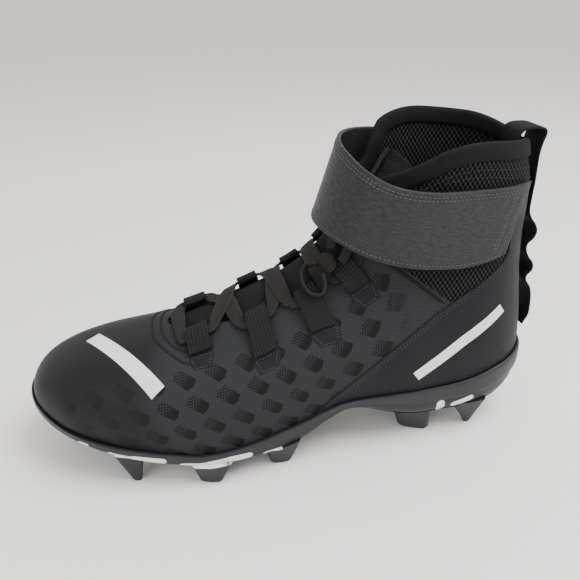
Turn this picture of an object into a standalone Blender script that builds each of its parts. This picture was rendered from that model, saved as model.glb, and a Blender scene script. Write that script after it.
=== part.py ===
"""High-ankle american football cleat, left shoe, standing empty on its studs.

The frame is metres with +X from heel to toe, +Y to the wearer's left (the outer side) and +Z up.
Every piece takes its shape from one last: a tube of sections that runs from the toe, over the
instep, and up to the collar.
"""
import math

import bmesh
import bpy
import numpy as np
from mathutils import Vector
from mathutils.bvhtree import BVHTree

# Named sizes, in metres
SHOE_LENGTH = 0.300
BALL_WIDTH = 0.104
COLLAR_HEIGHT = 0.180
SOLE_HEIGHT = 0.050
GAP = 0.0003
WALL_GAP = 0.0009
FOOT_GAP = 0.0007
UPPER_WALL = 0.0018
SIDE_WALL = 0.0019
HEEL_ROUND = 0.050
TOE_ROUND = 0.060
HEEL_X = -0.003
ORIGIN = (0.1465, 0.0018)
TONGUE_WALL = 0.0035
INSOLE_WALL = 0.0035
STRAP_WALL = 0.0024
RIM_HEIGHT = 0.0085
RIM_WALL = 0.0056
WEB_WALL = 0.0014
PULL_WIDTH = 0.020
LACE_WIDTH = 0.0085
LACE_WALL = 0.0014
LACE_EYE_WIDTH = 0.005
LOOP_WIDTH = 0.013
LOOP_WALL = 0.0011
TOE_X = HEEL_X + SHOE_LENGTH + 0.003
RIDGE_SHARE = 0.45
RIDGE_STEP = 0.0009
UNDER_INSET = 0.0035
STUD_ROOT = 0.002
RING_COUNT = 64
INSOLE_INSET = 0.0032
INSOLE_GAP = 0.0007
TONGUE_GAP = 0.0012
TONGUE_LAP = 0.13
TONGUE_BEHIND_RIM = 0.0022
TONGUE_PLACES = (8.5, 30.3)
TONGUE_ARCH = 2.4
TONGUE_LEAN = 0.011
TONGUE_LEAN_FROM = 23.0

# Outline of the sole, seen from above
# Columns: place along the shoe, centre line, outer and inner half-width (shares of the ball width)
OUTLINE = (
    (-0.01, 0.000, 0.346, 0.332),
    (0.17, 0.000, 0.346, 0.332),
    (0.24, 0.000, 0.365, 0.327),
    (0.32, 0.000, 0.376, 0.308),
    (0.40, 0.000, 0.394, 0.290),
    (0.50, 0.000, 0.442, 0.317),
    (0.60, -0.010, 0.500, 0.385),
    (0.67, -0.024, 0.521, 0.409),
    (0.73, -0.033, 0.514, 0.428),
    (0.80, -0.053, 0.496, 0.409),
    (0.87, -0.080, 0.478, 0.372),
    (0.94, -0.113, 0.484, 0.337),
    (1.00, -0.130, 0.500, 0.317),
)

# Heights of the sole
# Columns: place along the shoe, underside, footbed and top of the side wall (shares of its height)
SOLE_LINES = (
    (-0.01, 0.52, 0.66, 1.02),
    (0.03, 0.47, 0.58, 0.99),
    (0.07, 0.43, 0.56, 0.92),
    (0.12, 0.40, 0.55, 0.84),
    (0.18, 0.38, 0.55, 0.79),
    (0.25, 0.40, 0.57, 0.766),
    (0.30, 0.48, 0.61, 0.77),
    (0.345, 0.58, 0.66, 0.765),
    (0.39, 0.62, 0.68, 0.75),
    (0.43, 0.51, 0.62, 0.71),
    (0.475, 0.36, 0.50, 0.63),
    (0.52, 0.28, 0.40, 0.56),
    (0.585, 0.25, 0.34, 0.48),
    (0.665, 0.25, 0.325, 0.426),
    (0.715, 0.29, 0.36, 0.47),
    (0.775, 0.35, 0.42, 0.52),
    (0.835, 0.44, 0.51, 0.58),
    (0.89, 0.51, 0.575, 0.64),
    (0.94, 0.57, 0.635, 0.71),
    (0.975, 0.61, 0.675, 0.79),
    (1.00, 0.63, 0.70, 0.84),
)

# Sections of the last, from the toe to the collar
# Columns: foot of the section along the shoe, its height (None on the footbed), its top along the
# shoe, the top's height, outer and inner half-width, share of its height where it is widest,
# roundness (1 an ellipse, less is squarer) and half the throat's width
SECTIONS = (
    (0.9927, None, 0.9927, 0.204, 0.02, 0.02, 0.30, 0.90, 0.0),
    (0.9893, None, 0.9893, 0.240, 0.04, 0.04, 0.30, 0.88, 0.0),
    (0.9800, None, 0.9800, 0.274, 0.10, 0.08, 0.30, 0.87, 0.0),
    (0.9650, None, 0.9650, 0.305, 0.20, 0.15, 0.30, 0.86, 0.0),
    (0.9433, None, 0.9433, 0.333, 0.30, 0.20, 0.30, 0.85, 0.0),
    (0.9150, None, 0.9150, 0.357, 0.38, 0.25, 0.30, 0.84, 0.0),
    (0.8800, None, 0.8800, 0.378, 0.43, 0.30, 0.30, 0.83, 0.0),
    (0.8367, None, 0.8367, 0.396, 0.46, 0.35, 0.30, 0.83, 0.0),
    (0.7867, None, 0.7867, 0.413, 0.48, 0.38, 0.30, 0.84, 0.0),
    (0.7333, None, 0.7333, 0.430, 0.50, 0.418, 0.30, 0.87, 0.0),
    (0.6800, None, 0.6833, 0.450, 0.505, 0.404, 0.30, 0.93, 0.125),
    (0.6267, None, 0.6333, 0.481, 0.495, 0.394, 0.31, 0.99, 0.173),
    (0.5700, None, 0.5867, 0.511, 0.476, 0.375, 0.32, 1.03, 0.192),
    (0.5100, None, 0.5467, 0.541, 0.447, 0.356, 0.33, 1.05, 0.202),
    (0.4467, None, 0.5100, 0.568, 0.423, 0.351, 0.34, 1.05, 0.207),
    (0.3800, None, 0.4767, 0.597, 0.404, 0.351, 0.35, 1.04, 0.212),
    (0.3100, None, 0.4483, 0.630, 0.389, 0.351, 0.36, 1.02, 0.212),
    (0.2367, None, 0.4233, 0.666, 0.380, 0.356, 0.37, 0.99, 0.207),
    (0.1633, None, 0.4017, 0.708, 0.370, 0.356, 0.38, 0.95, 0.202),
    (0.0967, None, 0.3850, 0.747, 0.361, 0.351, 0.39, 0.92, 0.202),
    (0.0433, None, 0.3733, 0.780, 0.351, 0.346, 0.40, 0.90, 0.197),
    (0.0100, None, 0.3657, 0.803, 0.349, 0.344, 0.41, 0.88, 0.197),
    (-0.0030, None, 0.3617, 0.817, 0.346, 0.342, 0.42, 0.87, 0.197),
    (-0.0040, 0.240, 0.3577, 0.830, 0.346, 0.341, 0.43, 0.86, 0.197),
    (-0.0030, 0.315, 0.3540, 0.847, 0.344, 0.340, 0.44, 0.86, 0.200),
    (0.0015, 0.400, 0.3500, 0.866, 0.341, 0.338, 0.45, 0.86, 0.205),
    (0.0090, 0.490, 0.3460, 0.886, 0.337, 0.334, 0.46, 0.87, 0.215),
    (0.0155, 0.580, 0.3427, 0.905, 0.332, 0.330, 0.47, 0.88, 0.235),
    (0.0180, 0.672, 0.3393, 0.923, 0.327, 0.326, 0.48, 0.90, 0.260),
    (0.0165, 0.765, 0.3367, 0.942, 0.324, 0.324, 0.49, 0.92, 0.285),
    (0.0165, 0.850, 0.3343, 0.960, 0.324, 0.324, 0.50, 0.95, 0.305),
    (0.0260, 0.920, 0.3333, 0.978, 0.330, 0.330, 0.50, 0.98, 0.322),
    (0.0330, 0.966, 0.3330, 1.014, 0.334, 0.334, 0.50, 0.99, 0.330),
)
THROAT_START = 9.35
FEATHER_END = 22.0
LAST_SECTION = len(SECTIONS) - 2
TOP_SECTION = len(SECTIONS) - 1
THROAT_ROUND = 1.1
CORNER_DROP = 0.8
INNER_RISE = 1.0
OUTER_RISE = 0.2
INNER_CORNER = 0.15

# Studs under the sole, flat tips on the floor
# Columns: place along the shoe, place across (share of the ball width), tip length and width,
# root length and width, how far the root lies ahead of the tip and outward of it, the tip's turn
# in degrees (heelward and outward) and its height
STUDS = (
    (0.795, 0.360, 0.005, 0.005, 0.018, 0.011, 0.003, 0.0010, 0.0, 0.0),
    (0.657, 0.445, 0.013, 0.006, 0.024, 0.012, -0.001, 0.0010, 16.0, 0.0),
    (0.520, 0.360, 0.012, 0.006, 0.022, 0.012, -0.001, 0.0030, 0.0, 0.0),
    (0.793, -0.395, 0.006, 0.005, 0.018, 0.011, 0.002, 0.0010, 0.0, 0.0),
    (0.655, -0.385, 0.012, 0.006, 0.022, 0.012, 0.001, 0.0010, -10.0, 0.0),
    (0.520, -0.265, 0.011, 0.006, 0.020, 0.012, -0.001, 0.0015, 0.0, 0.0),
    (0.930, -0.110, 0.005, 0.006, 0.013, 0.013, 0.000, 0.0, 0.0, 0.0045),
    (0.228, 0.205, 0.019, 0.0065, 0.024, 0.011, 0.005, 0.0065, 24.0, 0.0),
    (0.112, 0.215, 0.004, 0.005, 0.023, 0.011, 0.004, 0.0060, 12.0, 0.0),
    (0.228, -0.195, 0.018, 0.0065, 0.023, 0.011, 0.005, 0.0060, -24.0, 0.0),
    (0.112, -0.205, 0.004, 0.005, 0.022, 0.011, 0.004, 0.0055, -12.0, 0.0),
)

# The ankle strap's inner face, from the outer heel seam round the front to the inner side
# Columns: lower edge and upper edge, each along, across and up (shares of length, ball width and
# collar height)
STRAP = (
    (0.100, 0.317, 0.661, 0.047, 0.202, 0.867),
    (0.143, 0.356, 0.650, 0.093, 0.279, 0.869),
    (0.190, 0.375, 0.644, 0.153, 0.327, 0.872),
    (0.263, 0.397, 0.658, 0.227, 0.363, 0.878),
    (0.313, 0.392, 0.675, 0.280, 0.368, 0.889),
    (0.357, 0.354, 0.697, 0.320, 0.335, 0.906),
    (0.392, 0.268, 0.719, 0.350, 0.258, 0.933),
    (0.415, 0.142, 0.736, 0.368, 0.142, 0.961),
    (0.423, 0.000, 0.744, 0.375, 0.018, 0.981),
    (0.412, -0.144, 0.744, 0.364, -0.135, 0.989),
    (0.384, -0.260, 0.736, 0.337, -0.262, 0.989),
    (0.341, -0.337, 0.722, 0.294, -0.340, 0.983),
    (0.287, -0.375, 0.706, 0.247, -0.368, 0.972),
    (0.227, -0.380, 0.694, 0.193, -0.368, 0.956),
    (0.167, -0.370, 0.689, 0.140, -0.350, 0.944),
    (0.127, -0.350, 0.689, 0.100, -0.315, 0.939),
)
STRAP_CLEAR = 0.0009
STRAP_FREE_X = 0.40

# Middle of the heel webbing in the plane of symmetry: up the seam with three folds, out into the
# pull loop, over the rim and down inside
# Columns: along and up (shares of length and collar height)
PULL_PATH = (
    (-0.009, 0.330), (-0.019, 0.365), (-0.020, 0.400), (-0.018, 0.440), (-0.013, 0.470),
    (-0.003, 0.495), (-0.002, 0.515), (-0.012, 0.535), (-0.011, 0.558), (-0.001, 0.580),
    (0.0065, 0.605), (0.0065, 0.630), (-0.005, 0.650), (-0.009, 0.672), (-0.004, 0.695),
    (0.0065, 0.718), (0.0128, 0.745), (0.0124, 0.790), (0.0110, 0.840), (0.0110, 0.885),
    (0.0118, 0.925), (0.0130, 0.960), (0.0140, 0.988), (0.0175, 1.006), (0.0250, 1.016),
    (0.0345, 1.020), (0.0460, 1.015), (0.0530, 0.998), (0.0553, 0.970), (0.0550, 0.940),
    (0.0530, 0.910), (0.0475, 0.885), (0.0415, 0.865), (0.0378, 0.845),
)

# Loops for the lace
# Columns of the path: inward of the throat's edge and height over the upper, both in metres
LOOP_PLACES = (10.55, 12.9, 15.3, 17.7)
LOOP_PATH = (
    (-0.0160, 0.0009), (-0.0080, 0.0009), (0.0000, 0.0009), (0.0050, 0.0010), (0.0078, 0.0018),
    (0.0088, 0.0031), (0.0078, 0.0044), (0.0050, 0.0052), (0.0000, 0.0050), (-0.0080, 0.0034),
    (-0.0160, 0.0024),
)
BAR_PLACE = 9.82
EYE_INWARD = 0.0032
OUTER_SHIFT = 0.0075
LACE_CROSS = -0.05
EYE_LIFT = 0.0030
LACE_LIFT = 0.0016
LACE_TOP = 19.0
KNOT_PLACE = 17.2
KNOT_ACROSS = 0.21
KNOT_SIZE = (0.009, 0.012, 0.0065)
KNOT_RISE = 0.0081
CORD_RADIUS = 0.0018
# The lace's bow and ends
# Columns: section of the last, c on it, and height over it in metres
LACE_CORDS = {
    "lace_bow": (
        (16.64, 0.19, 0.0094), (16.10, 0.17, 0.0092), (15.65, 0.19, 0.0087), (15.40, 0.24, 0.0083),
        (15.50, 0.29, 0.0080), (15.90, 0.31, 0.0079), (16.30, 0.29, 0.0081), (16.64, 0.24, 0.0090),
    ),
    "lace_end_upper": (
        (17.80, 0.17, 0.0078), (18.40, 0.13, 0.0066), (19.50, 0.10, 0.0042), (21.00, 0.09, 0.0016),
        (23.00, 0.08, -0.0006), (25.00, 0.06, -0.0036), (27.00, 0.03, -0.0070), (29.00, 0.00, -0.0106),
        (30.40, -0.02, -0.0134),
    ),
    "lace_end_lower": (
        (17.80, 0.24, 0.0080), (18.60, 0.22, 0.0072), (19.60, 0.19, 0.0056), (20.60, 0.17, 0.0046),
        (21.80, 0.16, 0.0042), (23.00, 0.16, 0.0040),
    ),
}
RIM_START = 26.0
RIM_GAP = 0.0005

COLOURS = {
    "outsole": ((0.045, 0.048, 0.056), 0.35),
    "upper": ((0.022, 0.024, 0.029), 0.75),
    "tongue": ((0.018, 0.019, 0.022), 0.90),
    "insole": ((0.030, 0.031, 0.034), 0.90),
    "ankle_strap": ((0.060, 0.061, 0.068), 0.55),
    "collar_rim": ((0.016, 0.017, 0.022), 0.80),
    "heel_pull_loop": ((0.012, 0.012, 0.014), 0.70),
    "webbing": ((0.020, 0.020, 0.022), 0.80),
    "lace": ((0.030, 0.027, 0.025), 0.85),
}


def smooth(table, x, column):
    """A smooth curve through one column of a table whose first column is the place."""
    places = [row[0] for row in table]
    i = int(np.clip(np.searchsorted(places, x) - 1, 0, len(table) - 2))

    def slope(k):
        lo, hi = max(k - 1, 0), min(k + 1, len(table) - 1)
        return (table[hi][column] - table[lo][column]) / (places[hi] - places[lo])

    run = places[i + 1] - places[i]
    t = min(max((x - places[i]) / run, 0.0), 1.0)
    a, b = table[i][column], table[i + 1][column]
    m, n = slope(i) * run, slope(i + 1) * run
    return (2 * t**3 - 3 * t**2 + 1) * a + (t**3 - 2 * t**2 + t) * m + (3 * t**2 - 2 * t**3) * b + (t**3 - t**2) * n


def along(t):
    """Place along the shoe for t from 0 at the heel to 1 at the toe, even round both ends."""
    middle = TOE_X - HEEL_X - HEEL_ROUND - TOE_ROUND
    speed = middle + (HEEL_ROUND + TOE_ROUND) * math.pi / 2
    heel_share = HEEL_ROUND * math.pi / 2 / speed
    toe_share = TOE_ROUND * math.pi / 2 / speed
    if t < heel_share:
        return HEEL_X + HEEL_ROUND * (1 - math.cos(t / heel_share * math.pi / 2))
    if t > 1 - toe_share:
        return TOE_X - TOE_ROUND * (1 - math.cos((1 - t) / toe_share * math.pi / 2))
    return HEEL_X + HEEL_ROUND + (t - heel_share) * speed


def centre(x):
    return smooth(OUTLINE, x / SHOE_LENGTH, 1) * BALL_WIDTH


def half_width(x, side, inset=0.0):
    """Half-width of the sole's outline at x, drawn in by the inset."""
    full = smooth(OUTLINE, x / SHOE_LENGTH, 2 if side > 0 else 3) * BALL_WIDTH - inset
    heel = min(max((x - HEEL_X - inset) / (HEEL_ROUND - inset), 0.0), 1.0)
    toe = min(max((TOE_X - inset - x) / (TOE_ROUND - inset), 0.0), 1.0)
    return full * math.sqrt(1 - (1 - heel) ** 2) * math.sqrt(1 - (1 - toe) ** 2)


def underside(x):
    return smooth(SOLE_LINES, x / SHOE_LENGTH, 1) * SOLE_HEIGHT


def footbed(x):
    return smooth(SOLE_LINES, x / SHOE_LENGTH, 2) * SOLE_HEIGHT


def wall_top(x):
    return smooth(SOLE_LINES, x / SHOE_LENGTH, 3) * SOLE_HEIGHT


FEATHER_INSET = SIDE_WALL + WALL_GAP
SECTION_TABLE = tuple((float(k),) + row for k, row in enumerate(SECTIONS))


def section(p, side):
    """The last's section at p: foot, top, centres, half-widths and its shape."""
    xb = smooth(SECTION_TABLE, p, 1) * SHOE_LENGTH
    if p < 1.0:
        tip = TOE_X - FEATHER_INSET
        xb = tip + (SECTIONS[1][0] * SHOE_LENGTH - tip) * p
    if p < FEATHER_END:
        zb = footbed(xb) + FOOT_GAP
    else:
        rows = [(float(k), footbed(SECTIONS[22][0] * SHOE_LENGTH) + FOOT_GAP if row[1] is None else row[1] * COLLAR_HEIGHT)
                for k, row in enumerate(SECTIONS) if k >= 22]
        zb = smooth(rows, p, 1)
    xt = xb if p < 9.0 else smooth(SECTION_TABLE, p, 3) * SHOE_LENGTH
    zt = smooth(SECTION_TABLE, p, 4) * COLLAR_HEIGHT
    if p < 1.0:
        zt = zb + (SECTIONS[1][3] * COLLAR_HEIGHT - zb) * math.sqrt(p)
    start = half_width(xb, side, FEATHER_INSET) if p < FEATHER_END else 0.0
    widest = smooth(SECTION_TABLE, p, 5 if side > 0 else 6) * BALL_WIDTH
    bulge = start * 1.025
    widest = 0.5 * (widest + bulge + math.sqrt((widest - bulge) ** 2 + 1e-6))
    if p < 1.0:
        widest = widest * math.sqrt(p)
    return xb, zb, xt, zt, start, widest, smooth(SECTION_TABLE, p, 7), smooth(SECTION_TABLE, p, 8)


def last(p, c):
    """A point of the last. c is 0 on the top centre line, 1 at the outer foot, -1 at the inner foot."""
    side = 1 if c >= 0 else -1
    xb, zb, xt, zt, start, widest, level, power = section(p, side)
    height = math.hypot(xt - xb, zt - zb)
    lower = 0.9 * level
    a = min(abs(c), 1.0)
    if a <= 1 - lower:
        angle = (1 - a / (1 - lower)) * math.pi / 2
        w = widest * max(math.cos(angle), 0.0) ** power
        q = height * (level + (1 - level) * math.sin(angle) ** power)
    else:
        angle = (1 - a) / lower * math.pi / 2
        b = 1 - start / max(widest, 1e-6)
        w = start + (widest - start) * math.sin(angle)
        q = height * level * ((1 - b) * 2 * angle / math.pi + b * (1 - math.cos(angle)))
    share = q / max(height, 1e-6)
    mid = centre(xb) * (1 - share) + centre(xt) * share
    return np.array((xb + (xt - xb) * share, mid + side * w, zb + (zt - zb) * share))


def last_normal(p, c):
    """Outward normal of the last, by small steps along and across."""
    h, k = 0.02, 0.004
    if p < 0.01:
        return np.array((1.0, 0.0, 0.0))
    lowest = FEATHER_END if p >= FEATHER_END and abs(c) + k > 1.0 else 0.0
    du = last(min(p + h, TOP_SECTION), c) - last(max(p - h, lowest), c)
    if abs(c) + k <= 1.0:
        dc = last(p, c + k) - last(p, c - k)
    elif p >= FEATHER_END:
        dc = last(p, k - 1.0) - last(p, 1.0 - k)
    else:
        dc = (last(p, c) - last(p, c - math.copysign(k, c))) * math.copysign(1.0, c)
    n = np.cross(dc, du)
    return n / max(np.linalg.norm(n), 1e-12)


def skin(p, c, lift=0.0):
    """A point lifted off the last along its normal."""
    return last(p, c) + lift * last_normal(p, c)


def ease(share):
    """A share from 0 to 1 that starts and ends gently."""
    share = min(max(share, 0.0), 1.0)
    return share * share * (3 - 2 * share)


def throat_edge(p, side=1):
    """The value of c where the throat's edge cuts the section at p."""
    if p <= THROAT_START:
        return 0.0
    edge = smooth(SECTION_TABLE, p, 9) * BALL_WIDTH
    run = (p - THROAT_START) / THROAT_ROUND
    if run < 1.0:
        edge = SECTIONS[11][8] * BALL_WIDTH * math.sqrt(1 - (1 - run) ** 2) * (0.55 + 0.35 * run)
    if side < 0:
        edge *= 1 - INNER_CORNER * ease((p - 26.0) / 4.0)
    form = section(p, 1)
    angle = math.acos(min((edge / form[5]), 1.0) ** (1 / form[7]))
    return (1 - angle / (math.pi / 2)) * (1 - 0.9 * form[6])


def material(name):
    colour, rough = COLOURS[name]
    m = bpy.data.materials.new(name)
    m.use_nodes = True
    shader = m.node_tree.nodes["Principled BSDF"]
    shader.inputs["Base Color"].default_value = (*colour, 1.0)
    shader.inputs["Roughness"].default_value = rough
    return m


def add(name, verts, faces, finish):
    """A named object from points and faces, moved so that the shoe stands at the origin."""
    mesh = bpy.data.meshes.new(name)
    moved = [(v[0] - ORIGIN[0], v[1] - ORIGIN[1], v[2]) for v in verts]
    mesh.from_pydata(moved, [], faces)
    work = bmesh.new()
    work.from_mesh(mesh)
    bmesh.ops.remove_doubles(work, verts=work.verts, dist=0.00004)
    bmesh.ops.recalc_face_normals(work, faces=work.faces)
    work.to_mesh(mesh)
    work.free()
    obj = bpy.data.objects.new(name, mesh)
    bpy.context.scene.collection.objects.link(obj)
    mesh.materials.append(material(finish))
    return obj


def slab(name, outer, inner, finish, closed=False):
    """A closed solid between two grids of points; closed joins the last row to the first."""
    rows, cols = len(outer), len(outer[0])
    verts = [v for row in outer for v in row] + [v for row in inner for v in row]
    base = rows * cols
    faces = []
    for i in range(rows if closed else rows - 1):
        k = (i + 1) % rows
        for j in range(cols - 1):
            a, b = i * cols + j, k * cols + j
            faces.append((a, a + 1, b + 1, b))
            faces.append((base + a, base + b, base + b + 1, base + a + 1))
        a, b = i * cols, k * cols
        faces.append((a, b, base + b, base + a))
        a, b = i * cols + cols - 1, k * cols + cols - 1
        faces.append((a, base + a, base + b, b))
    if not closed:
        for i in (0, rows - 1):
            for j in range(cols - 1):
                a = i * cols + j
                faces.append((a, base + a, base + a + 1, a + 1))
    return add(name, verts, faces, finish)


def upper_places(vamp, quarter, shaft):
    """Section values for the upper's rows, with a row on the throat's base and one on the heel's foot."""
    first = [THROAT_START * k / vamp for k in range(vamp)]
    second = [THROAT_START + (FEATHER_END - THROAT_START) * k / quarter for k in range(quarter)]
    third = [FEATHER_END + (LAST_SECTION - FEATHER_END) * k / shaft for k in range(shaft + 1)]
    return first + second + third


def collar_place(p, f, side):
    """Section and c of the upper at f; the collar drops at its corner and stands higher at the sides."""
    edge = throat_edge(p, side)
    drop = CORNER_DROP * max((f - 0.7) / 0.3, 0.0) ** 2 * (p / LAST_SECTION) ** 12
    rise = (INNER_RISE if side < 0 else OUTER_RISE) * ease(f / 0.45) * ease((p - 27.0) / 4.0)
    return max(p - drop + rise, 0.0), side * (1 - (1 - edge) * f)


def upper_point(p, f, side, lift):
    """A point of the upper; f is 0 at its foot and 1 at the top line, the throat or the collar corner."""
    return skin(*collar_place(p, f, side), lift)


def build_upper():
    """The hollow upper: an outer and an inner skin, open at the foot, the throat and the collar."""
    places = upper_places(11, 16, 12)
    cols = 13
    rows = len(places)
    block = rows * cols
    verts = []
    for lift in (0.0, -UPPER_WALL):
        for side in (1, -1):
            verts += [upper_point(p, j / (cols - 1), side, lift) for p in places for j in range(cols)]
    faces = []
    for part in range(4):
        for i in range(rows - 1):
            for j in range(cols - 1):
                a = part * block + i * cols + j
                faces.append((a, a + 1, a + cols + 1, a + cols))
    for s in (0, 1):
        outer, inner = s * block, (2 + s) * block
        for i in range(rows - 1):
            if places[i + 1] < FEATHER_END + 0.01:
                a = i * cols
                faces.append((outer + a, outer + a + cols, inner + a + cols, inner + a))
            if places[i] > THROAT_START - 0.01:
                a = i * cols + cols - 1
                faces.append((outer + a, outer + a + cols, inner + a + cols, inner + a))
        for j in range(cols - 1):
            a = (rows - 1) * cols + j
            faces.append((outer + a, outer + a + 1, inner + a + 1, inner + a))
    return add("upper", verts, faces, "upper")


def outline(t, side, inset):
    """A point of the outline seen from above, drawn in by the inset."""
    share = (along(t) - HEEL_X) / (TOE_X - HEEL_X)
    x = HEEL_X + inset + share * (TOE_X - HEEL_X - 2 * inset)
    return np.array((x, centre(x) + side * half_width(x, side, inset), 0.0))


def outline_normal(t, side):
    if t < 1e-6:
        return np.array((-1.0, 0.0, 0.0))
    if t > 1 - 1e-6:
        return np.array((1.0, 0.0, 0.0))
    step = outline(min(t + 0.004, 1.0), side, 0.0) - outline(max(t - 0.004, 0.0), side, 0.0)
    n = np.array((-step[1], step[0], 0.0)) * side
    return n / np.linalg.norm(n)


def last_tree(rows, cols):
    """The last as a search tree, to find how far it reaches at a height."""
    points, faces = [], []
    for i in range(rows):
        for j in range(cols):
            points.append(tuple(last(TOP_SECTION * i / (rows - 1), 1.0 - 2.0 * j / (cols - 1))))
    for i in range(rows - 1):
        for j in range(cols - 1):
            a = i * cols + j
            faces.append((a, a + 1, a + cols + 1, a + cols))
    return BVHTree.FromPolygons(points, faces)


def reach(tree, t, side, z):
    """How far the last stands out past its foot at the height z, square to the outline."""
    foot = outline(t, side, FEATHER_INSET)
    n = outline_normal(t, side)
    start = foot - 0.012 * n
    hit = tree.ray_cast(Vector((start[0], start[1], z)), Vector(n))[0]
    if hit is None:
        return 0.0
    return max(float(np.dot(np.array(hit) - foot, n)), 0.0)


def ring_solid(name, rings, finish):
    """A closed solid from rings round the outline; the first and last rings close as strips."""
    count = len(rings[0])
    half = count // 2
    verts = [v for ring in rings for v in ring]
    faces = []
    for r in range(len(rings) - 1):
        for i in range(count):
            k = (i + 1) % count
            a, b = r * count, (r + 1) * count
            faces.append((a + i, a + k, b + k, b + i))
    for base in (0, (len(rings) - 1) * count):
        for i in range(half):
            a, b = base + i, base + i + 1
            c, d = base + (count - i - 1) % count, base + (count - i) % count
            faces.append([v for n, v in enumerate((a, b, c, d)) if v not in (a, b, c, d)[:n]])
    return add(name, verts, faces, finish)


def ring_of(count, point):
    """Points round the outline: heel to toe on the outer side, then back on the inner side."""
    half = count // 2
    outer = [point(k / half, 1) for k in range(half + 1)]
    inner = [point(1 - k / half, -1) for k in range(1, half)]
    return outer + inner


SPINE = (0.075, 0.875)


def toward_spine(t, side, inset, share):
    """A point between the outline and the spine of the foot."""
    edge = outline(t, side, inset)
    x = SHOE_LENGTH * (SPINE[0] + (SPINE[1] - SPINE[0]) * t)
    spine = np.array((x, centre(x), 0.0))
    return spine + (edge - spine) * share


def at_height(point, height):
    return np.array((point[0], point[1], height(point[0])))


def build_outsole(tree):
    """Plate and side wall in one, with the studs joined on."""
    count = RING_COUNT
    width = SIDE_WALL + WALL_GAP

    def bed(share):
        return ring_of(count, lambda t, s: at_height(toward_spine(t, s, FEATHER_INSET, share), footbed))

    def wall(outward, level, step=0.0):
        def point(t, s):
            foot = outline(t, s, FEATHER_INSET)
            low, high = footbed(foot[0]), wall_top(foot[0])
            z = low + (high - low) * level
            return foot + (reach(tree, t, s, z) + outward) * outline_normal(t, s) + np.array((0, 0, z + step))
        return ring_of(count, point)

    def side_ring(outward, level, step=0.0):
        def point(t, s):
            foot = outline(t, s, FEATHER_INSET)
            low, high = underside(foot[0]), wall_top(foot[0])
            z = low + (high - low) * level + step
            return foot + (reach(tree, t, s, z) + outward) * outline_normal(t, s) + np.array((0, 0, z))
        return ring_of(count, point)

    def under(share):
        return ring_of(count, lambda t, s: at_height(toward_spine(t, s, UNDER_INSET, share), underside))

    rings = [bed(0.12), bed(0.55), wall(WALL_GAP, 0.0), wall(WALL_GAP, 0.5), wall(WALL_GAP, 1.0)]
    rings += [wall(width - 0.0002, 1.0), side_ring(width, 0.93), side_ring(width, RIDGE_SHARE)]
    rings += [side_ring(width - RIDGE_STEP, RIDGE_SHARE, -0.0006), side_ring(width - RIDGE_STEP - 0.0008, 0.14)]
    rings += [under(1.0), under(0.55), under(0.12)]
    sole = ring_solid("outsole", rings, "outsole")
    for k, row in enumerate(STUDS):
        stud = build_stud(k, row)
        join = sole.modifiers.new("join", "BOOLEAN")
        join.operation = "UNION"
        join.solver = "EXACT"
        join.object = stud
        with bpy.context.temp_override(object=sole, active_object=sole, selected_objects=[sole]):
            bpy.ops.object.modifier_apply(modifier=join.name)
        bpy.data.objects.remove(stud)
    return sole


def build_stud(k, row):
    """A tapered blade from the floor up into the plate."""
    x, y = row[0] * SHOE_LENGTH, row[1] * BALL_WIDTH
    tip_l, tip_w, root_l, root_w, lead, out, turn, low = row[2:]
    top = underside(x) + STUD_ROOT
    out = math.copysign(out, y)
    turn = math.radians(turn)
    levels = ((low, tip_l - 0.0014, tip_w - 0.0014, 0.0), (low + 0.0008, tip_l, tip_w, 0.0),
              (top - STUD_ROOT, root_l - 0.001, root_w - 0.001, 0.9), (top, root_l, root_w, 1.0))
    verts = []
    for z, length, width, share in levels:
        for a, b in ((1, 1), (-1, 1), (-1, -1), (1, -1)):
            twist = turn * (1 - 0.8 * share)
            px = x + lead * share + a * length / 2 * math.cos(twist) + b * width / 2 * math.sin(twist)
            py = y + out * share - a * length / 2 * math.sin(twist) + b * width / 2 * math.cos(twist)
            rise = underside(px) - underside(x) if share > 0.0 else 0.0
            verts.append((px, py, z + rise))
    faces = [(3, 2, 1, 0), (12, 13, 14, 15)]
    for r in range(3):
        for i in range(4):
            a, b = r * 4 + i, r * 4 + (i + 1) % 4
            faces.append((a, b, b + 4, a + 4))
    return add(f"stud_{k}", verts, faces, "outsole")


def build_insole():
    """The insole lies on the footbed, inside the foot of the upper."""
    def bed(t, side, share):
        return at_height(toward_spine(t, side, FEATHER_INSET, share), footbed)

    def ring(share, lift, draw=0.0):
        def point(t, side):
            place = bed(t, side, share)
            inward = bed(t, side, 0.55) - place
            if draw > 0.0:
                place = place + inward * (draw / np.linalg.norm(inward))
            return place + np.array((0, 0, lift))
        return ring_of(RING_COUNT, point)

    top = INSOLE_GAP + INSOLE_WALL
    rings = [ring(0.12, top), ring(0.55, top), ring(1.0, top, INSOLE_INSET + 0.0015)]
    rings += [ring(1.0, top - 0.0008, INSOLE_INSET), ring(1.0, INSOLE_GAP, INSOLE_INSET)]
    rings += [ring(0.55, INSOLE_GAP), ring(0.12, INSOLE_GAP)]
    return ring_solid("insole", rings, "insole")


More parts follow.
